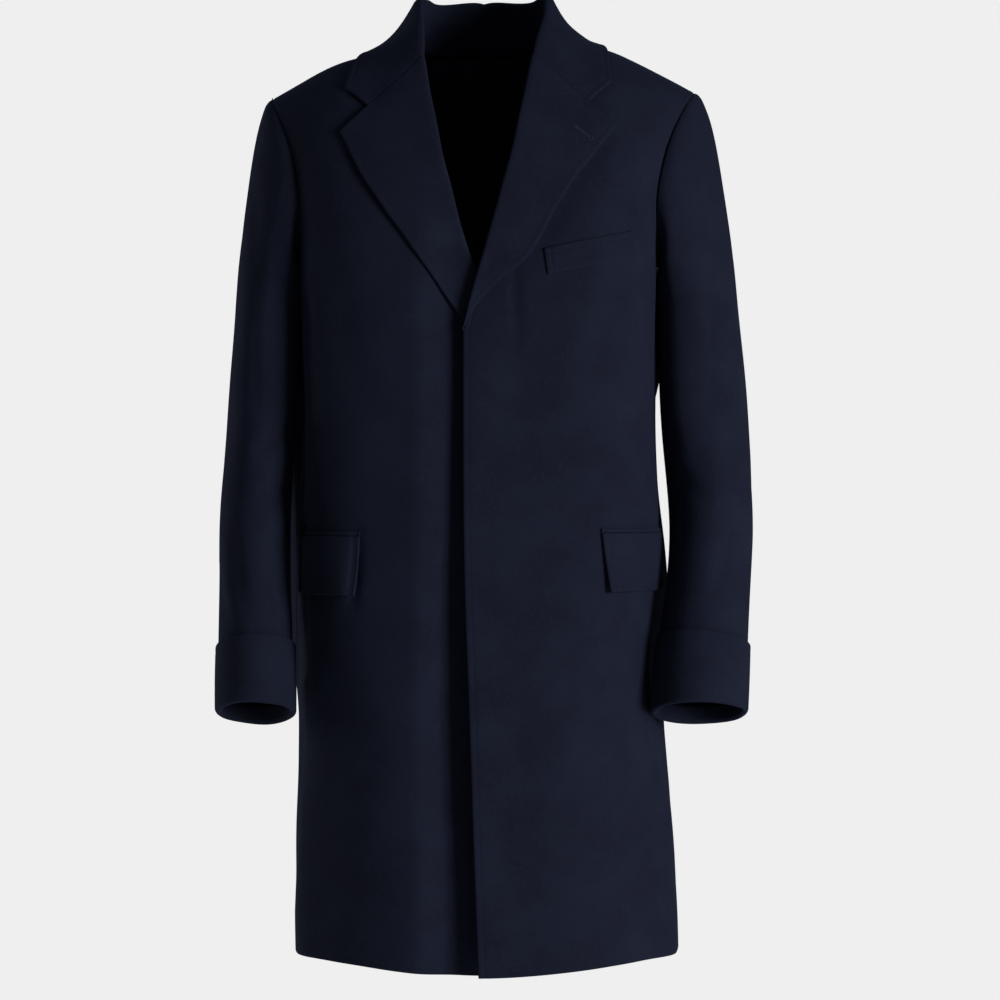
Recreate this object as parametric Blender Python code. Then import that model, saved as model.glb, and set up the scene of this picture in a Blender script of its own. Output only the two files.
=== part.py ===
# A single-breasted wool overcoat with a fly front, in the hollow form that it keeps when it is worn.
# Metres, +Z up. The wearer faces -Y, so +X is the wearer's left. The origin is the middle of the
# shoulder line, level with the points where the shoulder seams meet the neck.

import math

import bpy
import numpy as np

# Cloth and seams
CLOTH = 0.0025  # wall of the fronts, backs and sleeves
TRIM = 0.0018  # wall of the collar, lapels, cuffs, flaps, jets and welt
SEAM = 0.00035  # space between neighbouring pieces

# Torso
CHEST_Z = -0.250  # level of the underarm
RISE = 0.31  # height of one unit of climb below the chest
SHOULDER_HALF = 0.245  # half width that the section reaches at the shoulder ridge
NECK_HALF = 0.0855  # where the shoulder line starts to fall, measured on the rounded width
NECK_ROUND = 0.035  # rounding of the shoulder line at the middle
SHOULDER_FALL = 0.385
SHOULDER_CURVE = 0.70
SHOULDER_TILT = 0.0137  # the wearer's right shoulder hangs lower
# Hollows of the shoulder line beside the neck: middle, depth and spread
HOLLOWS = [
    dict(x=-0.113, depth=0.0085, wide=0.036),
    dict(x=0.104, depth=0.0060, wide=0.028),
]

# Levels of the torso: half width, depth in front and behind, sideways shift, squareness
TORSO = [
    dict(z=-1.013, half=0.2095, front=0.165, back=0.168, shift=0.003, square=2.5),
    dict(z=-0.850, half=0.2070, front=0.160, back=0.163, shift=0.001, square=2.6),
    dict(z=-0.620, half=0.2008, front=0.151, back=0.155, shift=-0.0033, square=2.8),
    dict(z=-0.420, half=0.1930, front=0.139, back=0.138, shift=-0.0055, square=3.2),
    dict(z=CHEST_Z, half=0.1940, front=0.131, back=0.138, shift=-0.006, square=4.0),
]

# Largest folds and pressed places: middle in degrees round the body from the front, height,
# depth inward, spread in degrees and spread in height
FOLDS = [
    dict(angle=72, z=-0.725, depth=0.019, wide=22, tall=0.11),
    dict(angle=-74, z=-0.725, depth=0.007, wide=20, tall=0.10),
    dict(angle=118, z=-1.013, depth=0.008, wide=9, tall=0.38),
    dict(angle=147, z=-1.013, depth=0.006, wide=8, tall=0.30),
    dict(angle=-128, z=-1.013, depth=0.009, wide=10, tall=0.42),
    dict(angle=-158, z=-1.013, depth=0.005, wide=7, tall=0.26),
    dict(angle=52, z=-1.013, depth=0.004, wide=9, tall=0.30),
    dict(angle=-38, z=-1.013, depth=0.003, wide=8, tall=0.25),
    dict(angle=-113, z=-0.550, depth=-0.024, wide=13, tall=0.21),
    dict(angle=112, z=-0.350, depth=-0.0135, wide=13, tall=0.050),
    dict(angle=108, z=-0.630, depth=-0.012, wide=14, tall=0.10),
]

# The hem hangs lower at the front edges than at the sides and the back
HEM_RISE = 0.007
HEM_DROP = 0.0115
HEM_POWER = 6  # how closely the drop keeps to the middle of the front
HEM_FROM = -0.80  # height where this starts
HEM = TORSO[0]["z"]

# Armhole, from the underarm to the shoulder tip: degrees from the middle, and climb
SIDE_ANGLE = 96.0
ARMHOLE_FRONT = [(SIDE_ANGLE, 0.0), (82, 0.015), (68, 0.065), (60, 0.16), (57.5, 0.33), (57, 0.56),
                 (56, 0.80), (54.5, 1.0)]
ARMHOLE_BACK = [(SIDE_ANGLE, 0.0), (107, 0.02), (117, 0.08), (121.5, 0.20), (122.5, 0.38),
                (123, 0.60), (124, 0.82), (125.5, 1.0)]

# Front edges: height and x. The wearer's left front laps over the right one.
OVER_EDGE = [(-1.013, -0.005), (-0.890, -0.0098), (-0.730, -0.0153), (-0.610, -0.0197),
             (-0.460, -0.0216), (-0.3366, -0.0216)]
UNDER_EDGE = [(-1.013, 0.036), (-0.730, 0.028), (-0.500, 0.023), (-0.385, 0.0225)]
UNDER_DEPTH = 0.0120  # how far the under front lies behind the over front where they lap
UNDER_ACROSS = (-0.075, -0.028)  # it sinks from the first x to the second
UNDER_DOWN = (-0.150, -0.262)  # and from the first height to the second

# Roll lines from the front edge to the gorge: x and z seen from the front
ROLL_LEFT = [(-0.0216, -0.3366), (-0.0068, -0.2754), (0.0049, -0.2293), (0.0176, -0.1865),
             (0.0315, -0.1360), (0.0433, -0.0849), (0.0543, -0.0408)]
ROLL_RIGHT = [(0.0225, -0.3850), (-0.0078, -0.2720), (-0.0227, -0.2218), (-0.0375, -0.1615),
              (-0.0498, -0.1085), (-0.0620, -0.0577), (-0.0655, -0.0430)]

# Outer edges of the lapels from the front edge to the tip, then to the notch
LAPEL_LEFT = [(-0.0216, -0.3366), (-0.0110, -0.3165), (0.0218, -0.2793), (0.0388, -0.2665),
              (0.0580, -0.2410), (0.0979, -0.1725), (0.1267, -0.1362), (0.1408, -0.1174)]
LAPEL_RIGHT = [(0.0225, -0.3850), (-0.0280, -0.3167), (-0.0683, -0.2580), (-0.1032, -0.2104),
               (-0.1333, -0.1629), (-0.1528, -0.1238)]
NOTCH_LEFT = (0.1120, -0.0909)
NOTCH_RIGHT = (-0.1240, -0.0963)

# Collar: front corner, and the edge from there over the shoulder to the middle of the back, as x
# and climb (1 is the shoulder ridge, above 1 is behind it)
CORNER_LEFT = (0.1375, -0.0678)
CORNER_RIGHT = (-0.1490, -0.0748)
COLLAR_EDGE = [(0.1290, 1.00), (0.1140, 1.22), (0.0800, 1.38), (0.0400, 1.445), (0.0, 1.46)]
# Neck seam behind the gorge, as x and climb, with the height of the stand above it
NECK_SEAM = [(0.0720, 0.86, 0.018), (0.0780, 1.00, 0.034), (0.0740, 1.16, 0.041),
             (0.0450, 1.31, 0.046), (0.0, 1.36, 0.048)]
COLLAR_LEAN = 0.30  # how far the stand leans to the neck for its height
COLLAR_DROP = (4.6, 2.4)  # how quickly the fall drops from the roll, at the sides and the back
DROP_CHANGE = (0.72, 0.96)  # share of the full stand where the one passes into the other
GORGE_GAP = 0.0048  # the collar's front rows above the gorge, as climb

NECK_GAP = 0.0013  # the collar's foot above the neck seam
ROLL_RADIUS = 0.0034  # of the turned edge at the gorge
COLLAR_RADIUS = 0.0048  # of the collar's turned edge behind the neck
ROLL_RADIUS_LOW = 0.0024  # of the turned edge at the front edge
EDGE_LIFT = 0.0036  # outer face of a lapel's edge above the front
COLLAR_LIFT = 0.0048  # outer face of the collar's edge above the shoulders

# Sleeve sections below the underarm: middle and half width for each arm, middle and half depth
# front to back, forward lean in degrees
SLEEVE = [
    dict(z=-0.300, xLeft=0.2342, halfLeft=0.0436, xRight=0.2368, halfRight=0.0347, y=0.000,
         depth=0.069, lean=0),
    dict(z=-0.440, xLeft=0.2426, halfLeft=0.0472, xRight=0.2440, halfRight=0.0375, y=-0.008,
         depth=0.064, lean=5),
    dict(z=-0.546, xLeft=0.2474, halfLeft=0.0452, xRight=0.2491, halfRight=0.0383, y=-0.030,
         depth=0.060, lean=11),
    dict(z=-0.660, xLeft=0.2380, halfLeft=0.0475, xRight=0.2470, halfRight=0.0395, y=-0.062,
         depth=0.056, lean=15),
    dict(z=-0.742, xLeft=0.2317, halfLeft=0.0493, xRight=0.2445, halfRight=0.0400, y=-0.085,
         depth=0.054, lean=16),
]
HEAD_OUT = {1: 0.080, -1: 0.068}  # reach of the sleeve head at the shoulder, left and right
HEAD_OUT_LOW = 0.045  # the same at the front and back of the armhole
HEAD_IN = 0.020  # less than that at the underarm
HEAD_AHEAD = 0.055  # forward and backward reach
HEAD_OVER = 0.004  # rise of the seam's pull at the shoulder
HEAD_UNDER = 0.05  # downward pull at the underarm
HEAD_TAPER = 0.02  # outward pull where the head ends
HEAD_DOWN = 0.220  # downward pull at the level of the underarm
TOP_SLEEVE = (-6, 7)  # top sleeve, in columns from the outside of the arm (front is positive)

CUFF_TOP = -0.664
CUFF_BOTTOM = -0.744
CUFF_OUT = 0.0012  # inner face of the cuff from the sleeve

# Hip pockets: front end of the flap (x), top and bottom, length along the front, and how far the
# front end slants outward to its lower corner
FLAP_LEFT = dict(x=0.1250, top=-0.5510, low=-0.6135, length=0.150, slant=0.007)
FLAP_RIGHT = dict(x=-0.1320, top=-0.5545, low=-0.6170, length=0.150, slant=0.004)
JET_HEIGHT = 0.005
FLAP_LIFT = 0.0015
TRIM_LIFT = 0.0005

# Breast welt: lower and upper corners nearest the middle, length and rise to its outer end
WELT = dict(x=0.0640, low=-0.2770, high=-0.2490, length=0.098, rise=0.0200)

# Mesh steps
FRONT_COLUMNS = 12
BACK_COLUMNS = 11
LOW_ROWS = 14
HIGH_ROWS = 11
ARM_COLUMNS = 20  # twice the steps of the armhole, so that both share its points
HEAD_ROWS = 8
HEAD_CROWD = 1.15  # the head's rings stand closer together near the armhole
ARM_GAP = 0.02  # share of a column left open at each side of a sleeve's seams
FINE = 61  # points of an armhole while a sleeve's rings are laid out
LAPEL_ROWS = 15
TIP_ROWS = 3  # rows between a lapel's tip and its notch, and along the collar's front edge
HIDDEN_ROWS = 2  # lowest rows of the under lapel, out of sight behind the over front
ROLL_TURNS = (-35, 0, 35, 70)  # degrees round a turned edge
FALL_SHARES = (0.04, 0.16, 0.3, 0.45, 0.6, 0.75, 0.88, 1.0)  # from the roll to the free edge
CUFF_ROWS = 4
GIRTH_END = 110  # degrees, past the outer end of any pocket
GIRTH_POINTS = 300
ARM_ROWS = 10

NAVY = (0.012, 0.014, 0.030, 1.0)
NAVY_LIGHT = (0.018, 0.021, 0.040, 1.0)


def smooth_through(knots, values, at):
    # A smooth curve through the knots, with slopes taken from the neighbours.
    knots = np.asarray(knots, float)
    values = np.asarray(values, float)
    at = np.clip(at, knots[0], knots[-1])
    slopes = np.gradient(values, knots)
    i = np.clip(np.searchsorted(knots, at) - 1, 0, len(knots) - 2)
    span = knots[i + 1] - knots[i]
    t = (at - knots[i]) / span
    return (values[i] * (1 + 2 * t) * (1 - t) ** 2 + values[i + 1] * t * t * (3 - 2 * t)
            + span * (slopes[i] * t * (1 - t) ** 2 - slopes[i + 1] * t * t * (1 - t)))


def column(table, key):
    return [row[key] for row in table]


def level(key, z):
    return smooth_through(column(TORSO, "z"), column(TORSO, key), z)


def along(points, count):
    # Evenly spaced points on a smooth curve through a short list of points.
    points = np.asarray(points, float)
    length = np.r_[0, np.cumsum(np.linalg.norm(np.diff(points, axis=0), axis=1))]
    at = np.linspace(0, length[-1], count)
    return np.stack([smooth_through(length, points[:, k], at) for k in range(points.shape[1])], 1)


def blend(low, high, at):
    # A smooth step from 0 at low to 1 at high.
    t = np.clip((at - low) / (high - low), 0, 1)
    return t * t * (3 - 2 * t)


def shoulder_height(x):
    fall = np.sqrt(x * x + NECK_ROUND ** 2) - NECK_HALF
    height = -SHOULDER_FALL * fall - SHOULDER_CURVE * fall * np.abs(fall) + SHOULDER_TILT * x
    for hollow in HOLLOWS:
        height = height - hollow["depth"] * np.exp(-((x - hollow["x"]) / hollow["wide"]) ** 2)
    return height


def section(climb):
    # Half width, front and back depth, shift and squareness. A climb of 0 is the chest, 1 the
    # shoulder ridge, and each unit below the chest is RISE high.
    z = CHEST_Z + np.minimum(climb, 0) * RISE
    turn = np.radians(90 * np.clip(climb, 0, 1))
    half = level("half", z) + (SHOULDER_HALF - TORSO[-1]["half"]) * np.sin(turn) ** 2
    shift = level("shift", z) * np.cos(turn)
    return z, turn, half, level("front", z), level("back", z), shift, level("square", z)


def place(angle, climb):
    z, turn, half, front, back, shift, square = section(climb)
    a = np.radians(angle)
    across, ahead = np.sin(a), np.cos(a)
    size = (np.abs(across) ** square + np.abs(ahead) ** square) ** (-1 / square)
    x = shift + half * size * across
    depth = np.where(ahead > 0, front, back)
    y = -depth * size * ahead * np.cos(turn)
    lift = (HEM_RISE - HEM_DROP * np.maximum(ahead, 0) ** HEM_POWER) * blend(HEM_FROM, HEM, z)
    return np.stack([x, y, z + lift + (shoulder_height(x) - CHEST_Z) * np.sin(turn)], -1)


def fold_depth(angle, climb):
    z = CHEST_Z + np.minimum(climb, 0) * RISE
    total = np.zeros(np.shape(angle))
    for fold in FOLDS:
        away = (angle - fold["angle"] + 180) % 360 - 180
        total += fold["depth"] * np.exp(-(away / fold["wide"]) ** 2) * np.exp(
            -((z - fold["z"]) / fold["tall"]) ** 2)
    return total


def torso(angle, climb, out=0.0):
    # A point of the coat's outer face, moved out along its normal.
    angle, climb, out = np.broadcast_arrays(*(np.asarray(v, float) for v in (angle, climb, out)))
    round_way = place(angle + 0.2, climb) - place(angle - 0.2, climb)
    upward = place(angle, climb + 0.002) - place(angle, climb - 0.002)
    ridge = climb > 0.998
    upward[ridge] = (place(angle, climb) - place(angle, climb - 0.004))[ridge]
    normal = np.cross(round_way, upward)
    normal /= np.linalg.norm(normal, axis=-1, keepdims=True)
    return place(angle, climb) + normal * (out - fold_depth(angle, climb))[..., None]


def angle_at(x, climb):
    # The angle at which the front has this x.
    _, _, half, _, _, shift, square = section(climb)
    across = np.clip((x - shift) / half, -0.9999, 0.9999)
    return np.degrees(np.arctan2(across, (1 - np.abs(across) ** square) ** (1 / square)))


def climb_at(x, z):
    # The climb of a point of the front seen at this x and z.
    rise = shoulder_height(x) - CHEST_Z
    high = np.degrees(np.arcsin(np.clip((z - CHEST_Z) / rise, 0, 1))) / 90
    return np.where(z < CHEST_Z, (z - CHEST_Z) / RISE, high)


def drape(x, climb, out=0.0):
    # The same face by x and climb: a climb above 1 runs down the back.
    x, climb, out = np.broadcast_arrays(*(np.asarray(v, float) for v in (x, climb, out)))
    behind = climb > 1
    height = np.where(behind, 2 - climb, climb)
    angle = angle_at(x, height)
    return torso(np.where(behind, 180 - angle, angle), height, out)


def seen(points):
    # Turns a list of x and z seen from the front into x and climb.
    points = np.asarray(points, float)
    return np.stack([points[:, 0], climb_at(points[:, 0], points[:, 1])], 1)


def grid_normals(grid, closed):
    if closed:
        round_way = np.roll(grid, -1, 1) - np.roll(grid, 1, 1)
    else:
        round_way = np.gradient(grid, axis=1)
    normal = np.cross(round_way, np.gradient(grid, axis=0))
    return normal / np.linalg.norm(normal, axis=-1, keepdims=True)


def wall(name, outer, inner, colour, closed=False):
    # One closed solid between an outer and an inner face. Rows run up and columns run so that
    # their cross product points out of the cloth.
    rows, columns = outer.shape[:2]
    points = np.concatenate([outer.reshape(-1, 3), inner.reshape(-1, 3)])
    back = rows * columns
    faces = []
    for i in range(rows - 1):
        for j in range(columns if closed else columns - 1):
            a = i * columns + j
            b = i * columns + (j + 1) % columns
            faces.append((a, b, b + columns, a + columns))
            faces.append((back + a, back + a + columns, back + b + columns, back + b))
    for j in range(columns if closed else columns - 1):
        a, b = j, (j + 1) % columns
        c, d = (rows - 1) * columns + a, (rows - 1) * columns + b
        faces.append((a, back + a, back + b, b))
        faces.append((c, d, back + d, back + c))
    if not closed:
        for i in range(rows - 1):
            a, b = i * columns, (i + 1) * columns
            faces.append((a, b, back + b, back + a))
            a, b = a + columns - 1, b + columns - 1
            faces.append((a, back + a, back + b, b))
    mesh = bpy.data.meshes.new(name)
    mesh.from_pydata(points.tolist(), [], faces)
    mesh.shade_smooth()
    mesh.set_sharp_from_angle(angle=math.radians(50))
    mesh.materials.append(cloth_material(name, colour))
    item = bpy.data.objects.new(name, mesh)
    bpy.context.scene.collection.objects.link(item)
    return item


def cloth_material(name, colour):
    material = bpy.data.materials.new(name + "_wool")
    material.use_nodes = True
    shader = material.node_tree.nodes["Principled BSDF"]
    shader.inputs["Base Color"].default_value = colour
    shader.inputs["Roughness"].default_value = 0.9
    shader.inputs["Metallic"].default_value = 0.0
    return material


def spread(left, right, columns):
    # Columns between two boundaries of angle and climb.
    t = np.linspace(0, 1, columns)[None, :, None]
    return left[:, None, :] * (1 - t) + right[:, None, :] * t


def edge_angles(edge, count, top):
    # A front edge from the hem up, as angle and climb.
    z = np.linspace(edge[0][0], top, count)
    x = smooth_through([p[0] for p in edge], [p[1] for p in edge], z)
    climb = (z - CHEST_Z) / RISE
    return np.stack([angle_at(x, climb), climb], 1)


def neck_side(side, roll):
    # The front's inner boundary above the front edge: roll line, gorge, neck and shoulder.
    line = seen(roll)
    neck = np.array([(side * x, climb) for x, climb, _ in NECK_SEAM[:2]])
    path = along(np.concatenate([line, neck]), HIGH_ROWS)
    path[-1, 1] = 1 - SEAM * 3
    return np.stack([angle_at(path[:, 0], path[:, 1]), path[:, 1]], 1)


def armhole(points, side, count):
    path = along(np.asarray(points, float) * (1 / 90, 1), count) * (90, 1)
    path[-1, 1] = 1 - SEAM * 3
    return path * (side, 1)


def lap_out(x, z):
    # The under front sinks behind the over front near the middle.
    return -UNDER_DEPTH * blend(*UNDER_ACROSS, x) * blend(*UNDER_DOWN, z)


def front(name, side, edge, roll):
    hem = (TORSO[0]["z"] - CHEST_Z) / RISE
    gap = math.degrees(SEAM / 2 / 0.19)
    low_left = edge_angles(edge, LOW_ROWS, edge[-1][0])
    low_right = np.stack([np.full(LOW_ROWS, side * (SIDE_ANGLE - gap)),
                          np.linspace(hem, 0, LOW_ROWS)], 1)
    high_left = neck_side(side, roll)
    high_right = armhole(ARMHOLE_FRONT, side, HIGH_ROWS)
    high_right[:, 0] -= side * gap
    left = np.concatenate([low_left, high_left[1:]])
    right = np.concatenate([low_right, high_right[1:]])
    if side < 0:
        left, right = right, left
    where = spread(left, right, FRONT_COLUMNS)
    face = torso(where[..., 0], where[..., 1])
    out = lap_out(face[..., 0], face[..., 2]) if edge is UNDER_EDGE else 0.0
    return wall(name, torso(where[..., 0], where[..., 1], out),
                torso(where[..., 0], where[..., 1], out - CLOTH), NAVY)


def back(name, side):
    hem = (TORSO[0]["z"] - CHEST_Z) / RISE
    gap = math.degrees(SEAM / 2 / 0.19)
    nape = NECK_SEAM[-1][1]
    low = np.linspace(hem, 0, LOW_ROWS)
    middle_top = np.linspace(0, 2 - nape, HIGH_ROWS)
    middle = np.concatenate([np.stack([np.full(LOW_ROWS, 180.0), low], 1),
                             np.stack([np.full(HIGH_ROWS, 180.0), middle_top], 1)[1:]])
    middle[:, 0] = side * (180 - gap)
    hole = armhole(ARMHOLE_BACK, side, HIGH_ROWS)
    outer = np.concatenate([np.stack([np.full(LOW_ROWS, side * SIDE_ANGLE), low], 1), hole[1:]])
    outer[:, 0] += side * gap
    where = spread(outer, middle, BACK_COLUMNS)
    # The top row follows the shoulder seam and then the back neck.
    seam_x = np.linspace(0, 1, BACK_COLUMNS)
    tip = abs(torso(outer[-1, 0], outer[-1, 1])[0])
    neck_x = [row[0] for row in NECK_SEAM[1:]][::-1]
    neck_climb = [2 - row[1] for row in NECK_SEAM[1:]][::-1]
    x = tip * (1 - seam_x)
    top = np.where(x > neck_x[-1], 1 - SEAM * 3,
                   smooth_through(neck_x, neck_climb, np.minimum(x, neck_x[-1])))
    top = np.minimum(top, 1 - SEAM * 3)
    top_angle = side * (180 - angle_at(x, top))
    top_angle[0], top_angle[-1] = outer[-1, 0], middle[-1, 0]
    for k in range(HIGH_ROWS):
        row = LOW_ROWS - 1 + k
        share = k / (HIGH_ROWS - 1)
        goal = np.stack([top_angle, top], 1)
        ends = spread(outer[-1:], middle[-1:], BACK_COLUMNS)[0]
        where[row] += (goal - ends) * share ** 1.5
    if side < 0:
        where = where[:, ::-1]
    return wall(name, torso(where[..., 0], where[..., 1]),
                torso(where[..., 0], where[..., 1], -CLOTH), NAVY)


def on_front(where, out, under):
    # A row of points on a front, moved out; the under front sinks where the fronts lap.
    if under:
        flat = drape(where[:, 0], where[:, 1])
        out = out + lap_out(flat[:, 0], flat[:, 2])
    return drape(where[:, 0], where[:, 1], out)


def turned(roll, edge, stand, radius, gap, edge_lift, under=False):
    # Cloth turned over outward along a roll line. Roll and edge are rows of x and climb, stand is
    # the height of the roll above the seam, gap and edge_lift are heights above the cloth below.
    base = on_front(roll, gap, under)
    normal = on_front(roll, gap + 0.01, under) - base
    normal /= np.linalg.norm(normal, axis=1, keepdims=True)
    inward = base - drape(roll[:, 0] * 0.9 + edge[:, 0] * 0.1, roll[:, 1] * 0.9 + edge[:, 1] * 0.1)
    inward -= normal * np.sum(inward * normal, 1, keepdims=True)
    inward /= np.linalg.norm(inward, axis=1, keepdims=True)
    high = (stand / max(stand.max(), 1e-6))[:, None] if stand.max() > 0 else stand[:, None]
    up = normal * (1 - high) + np.array([0, 0, 1.0]) * high
    up /= np.linalg.norm(up, axis=1, keepdims=True)
    to_neck = np.stack([-roll[:, 0], -0.6 * base[:, 1], 0 * stand], 1)
    to_neck /= np.maximum(np.linalg.norm(to_neck, axis=1, keepdims=True), 1e-6)
    side = inward * (1 - high) + to_neck * high
    side -= up * np.sum(side * up, 1, keepdims=True)
    side /= np.linalg.norm(side, axis=1, keepdims=True)
    raised = (np.array([0, 0, 1.0]) + to_neck * COLLAR_LEAN) * stand[:, None]
    drop = COLLAR_DROP[0] + (COLLAR_DROP[1] - COLLAR_DROP[0]) * blend(*DROP_CHANGE, high)
    centre = base + normal * radius[:, None] + raised
    columns = [base]
    if stand.max() > 0:
        foot = centre + side * radius[:, None]
        columns.append((base + foot) / 2)
    for turn in ROLL_TURNS:
        a = math.radians(turn)
        columns.append(centre + (side * math.cos(a) + up * math.sin(a)) * radius[:, None])
    for t in FALL_SHARES:
        where = roll * (1 - t) + edge * t
        lift = (gap + 2 * radius) * (1 - t) + edge_lift * t
        columns.append(on_front(where, lift, under) + raised * (1 - t) ** drop)
    return np.stack(columns, 1)


def trim_wall(name, grid):
    return wall(name, grid, grid - grid_normals(grid, False) * TRIM, NAVY_LIGHT)


def lapel(name, side, roll, outer, notch, under):
    rows = LAPEL_ROWS
    roll_rows = along(seen(roll), rows)
    long_edge = along(seen(outer), rows - TIP_ROWS)
    top_edge = along(seen([outer[-1], notch]), TIP_ROWS + 1)[1:]
    edge_rows = np.concatenate([long_edge, top_edge])
    roll_rows[-1] -= (roll_rows[-1] - roll_rows[-2]) * 0.02
    # The lowest rows are kept a little wide, so that the wall doesn't close on itself.
    edge_rows[0] = roll_rows[0] + (side * 0.004, -0.006)
    radius = np.linspace(ROLL_RADIUS_LOW, ROLL_RADIUS, rows)
    grid = turned(roll_rows, edge_rows, np.zeros(rows), radius, SEAM, EDGE_LIFT, under)
    if under:
        grid = grid[HIDDEN_ROWS:]
    if side < 0:
        grid = grid[:, ::-1]
    return trim_wall(name, grid)


def collar():
    halves = []
    for side, roll, notch, corner in ((1, ROLL_LEFT, NOTCH_LEFT, CORNER_LEFT),
                                      (-1, ROLL_RIGHT, NOTCH_RIGHT, CORNER_RIGHT)):
        gorge = np.r_[seen(roll[-1:])[0] * (side, 1), 0.0]
        seam = along(np.concatenate([[gorge], NECK_SEAM]), LAPEL_ROWS) * (side, 1, 1)
        front_edge = along(seen([notch, corner]), TIP_ROWS + 1)
        behind = np.asarray(COLLAR_EDGE) * (side, 1)
        free_edge = along(np.concatenate([front_edge[-1:], behind]), LAPEL_ROWS - TIP_ROWS)
        edge = np.concatenate([front_edge[:-1], free_edge])
        edge[0] = edge[0] * 0.99 + edge[1] * 0.01
        halves.append((seam, edge))
    (left_seam, left_edge), (right_seam, right_edge) = halves
    seam = np.concatenate([right_seam, left_seam[:-1][::-1]])
    edge = np.concatenate([right_edge, left_edge[:-1][::-1]])
    for row in (0, -1):
        seam[row, 1] += GORGE_GAP
        edge[row, 1] += GORGE_GAP
    radius = ROLL_RADIUS + (COLLAR_RADIUS - ROLL_RADIUS) * seam[:, 2] / seam[:, 2].max()
    grid = turned(seam[:, :2], edge, seam[:, 2], radius, NECK_GAP, COLLAR_LIFT)
    return trim_wall("collar", grid[:, ::-1])


def arm(side, count_round, heights, out=0.0):
    # Rings of the sleeve. A height below 1 lies in the head, between the armhole at 0 and the
    # first section at 1; above 1 it counts metres down from that section.
    key = "Left" if side > 0 else "Right"
    table = SLEEVE[::-1]
    z_knots = column(table, "z")
    theta = np.asarray(count_round, float)
    t = np.radians(theta)

    def ring(z):
        x = smooth_through(z_knots, column(table, "x" + key), z)
        half = smooth_through(z_knots, column(table, "half" + key), z)
        y = smooth_through(z_knots, column(table, "y"), z)
        depth = smooth_through(z_knots, column(table, "depth"), z)
        lean = np.tan(np.radians(smooth_through(z_knots, column(table, "lean"), z)))
        ahead = (depth + out) * np.sin(t)
        return np.stack([side * (x + (half + out) * np.cos(t)), y - ahead, z + ahead * lean], -1)

    ahead = np.mod(theta, 360) <= 180
    share = np.where(ahead, 1 - np.mod(theta, 360) / 180, np.mod(theta, 360) / 180 - 1)
    knots = np.linspace(0, 1, FINE)
    hole = []
    for points in (ARMHOLE_FRONT, ARMHOLE_BACK):
        path = armhole(points, side, FINE)
        hole.append(np.stack([np.interp(share, knots, path[:, k]) for k in (0, 1)], 1))
    where = np.where(ahead[:, None], hole[0], hole[1])
    start = torso(where[:, 0], where[:, 1])
    first = ring(np.full(theta.shape, SLEEVE[0]["z"]))
    top = np.clip(np.cos(t), 0, 1) ** 1.5
    low = np.clip(-np.cos(t), 0, 1)
    out_there = HEAD_OUT_LOW + (HEAD_OUT[side] - HEAD_OUT_LOW) * top - HEAD_IN * low
    leave = np.stack([side * out_there, -HEAD_AHEAD * np.sin(t) * (1 - 0.5 * low),
                      -HEAD_OVER * top - HEAD_UNDER * low], 1)
    reach = start + leave / np.linalg.norm(leave, axis=1, keepdims=True) * SEAM * 2
    reach[:, 0] += side * SEAM * 2 * low
    arrive = np.zeros_like(leave)
    arrive[:, 0] = side * HEAD_TAPER
    arrive[:, 2] = -HEAD_DOWN * (first[:, 2] - start[:, 2]) / (first[:, 2] - start[:, 2]).min()
    rings = []
    for h in heights:
        if h < 1:
            rings.append(reach * (1 + 2 * h) * (1 - h) ** 2 + first * h * h * (3 - 2 * h)
                         + leave * h * (1 - h) ** 2 - arrive * h * h * (1 - h))
        else:
            rings.append(ring(np.full(theta.shape, SLEEVE[0]["z"] - (h - 1))))
    return np.stack(rings)


def strip(grid, first, last, gap):
    # Some columns of a closed ring, with both outer columns drawn back by a share of a step.
    part = np.take(grid, np.arange(first, last + 1), axis=1, mode="wrap")
    start = part[:, 0] * (1 - gap) + part[:, 1] * gap
    end = part[:, -1] * (1 - gap) + part[:, -2] * gap
    part[:, 0] = start
    part[:, -1] = end
    return part


def sleeve(side):
    key = "left" if side > 0 else "right"
    drop = SLEEVE[0]["z"] - SLEEVE[-1]["z"]
    heights = np.r_[np.linspace(0, 1, HEAD_ROWS)[:-1] ** HEAD_CROWD, 1 + np.linspace(0, drop, ARM_ROWS)]
    angles = np.arange(ARM_COLUMNS) * 360 / ARM_COLUMNS
    grid = arm(side, angles, heights)[::-1]
    facing = 1 if side < 0 else -1
    inner = grid - facing * grid_normals(grid, True) * CLOTH
    begin, end = TOP_SLEEVE
    for name, first, last in (("sleeve_top_", begin, end),
                              ("sleeve_under_", end, begin + ARM_COLUMNS)):
        faces = [strip(face, first, last, ARM_GAP)[:, ::facing] for face in (grid, inner)]
        wall(name + key, faces[0], faces[1], NAVY)


def cuff(side):
    key = "left" if side > 0 else "right"
    angles = np.linspace(0, 360, ARM_COLUMNS, endpoint=False)
    top = SLEEVE[0]["z"] - CUFF_TOP
    low = SLEEVE[0]["z"] - CUFF_BOTTOM
    heights = 1 + np.linspace(top, low, CUFF_ROWS)
    facing = 1 if side < 0 else -1
    faces = [arm(side, angles, heights, out)[::-1, ::facing]
             for out in (CUFF_OUT + TRIM, CUFF_OUT)]
    wall("cuff_" + key, faces[0], faces[1], NAVY_LIGHT, closed=True)


def girth_angles(x, z, length, count):
    # Angles that step round the torso from x by equal lengths, away from the middle.
    side = np.sign(x)
    climb = (z - CHEST_Z) / RISE
    fine = np.linspace(abs(angle_at(x, climb)), GIRTH_END, GIRTH_POINTS)
    points = torso(side * fine, climb)
    run = np.r_[0, np.cumsum(np.linalg.norm(np.diff(points, axis=0), axis=1))]
    return side * np.interp(np.linspace(0, length, count), run, fine)


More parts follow.
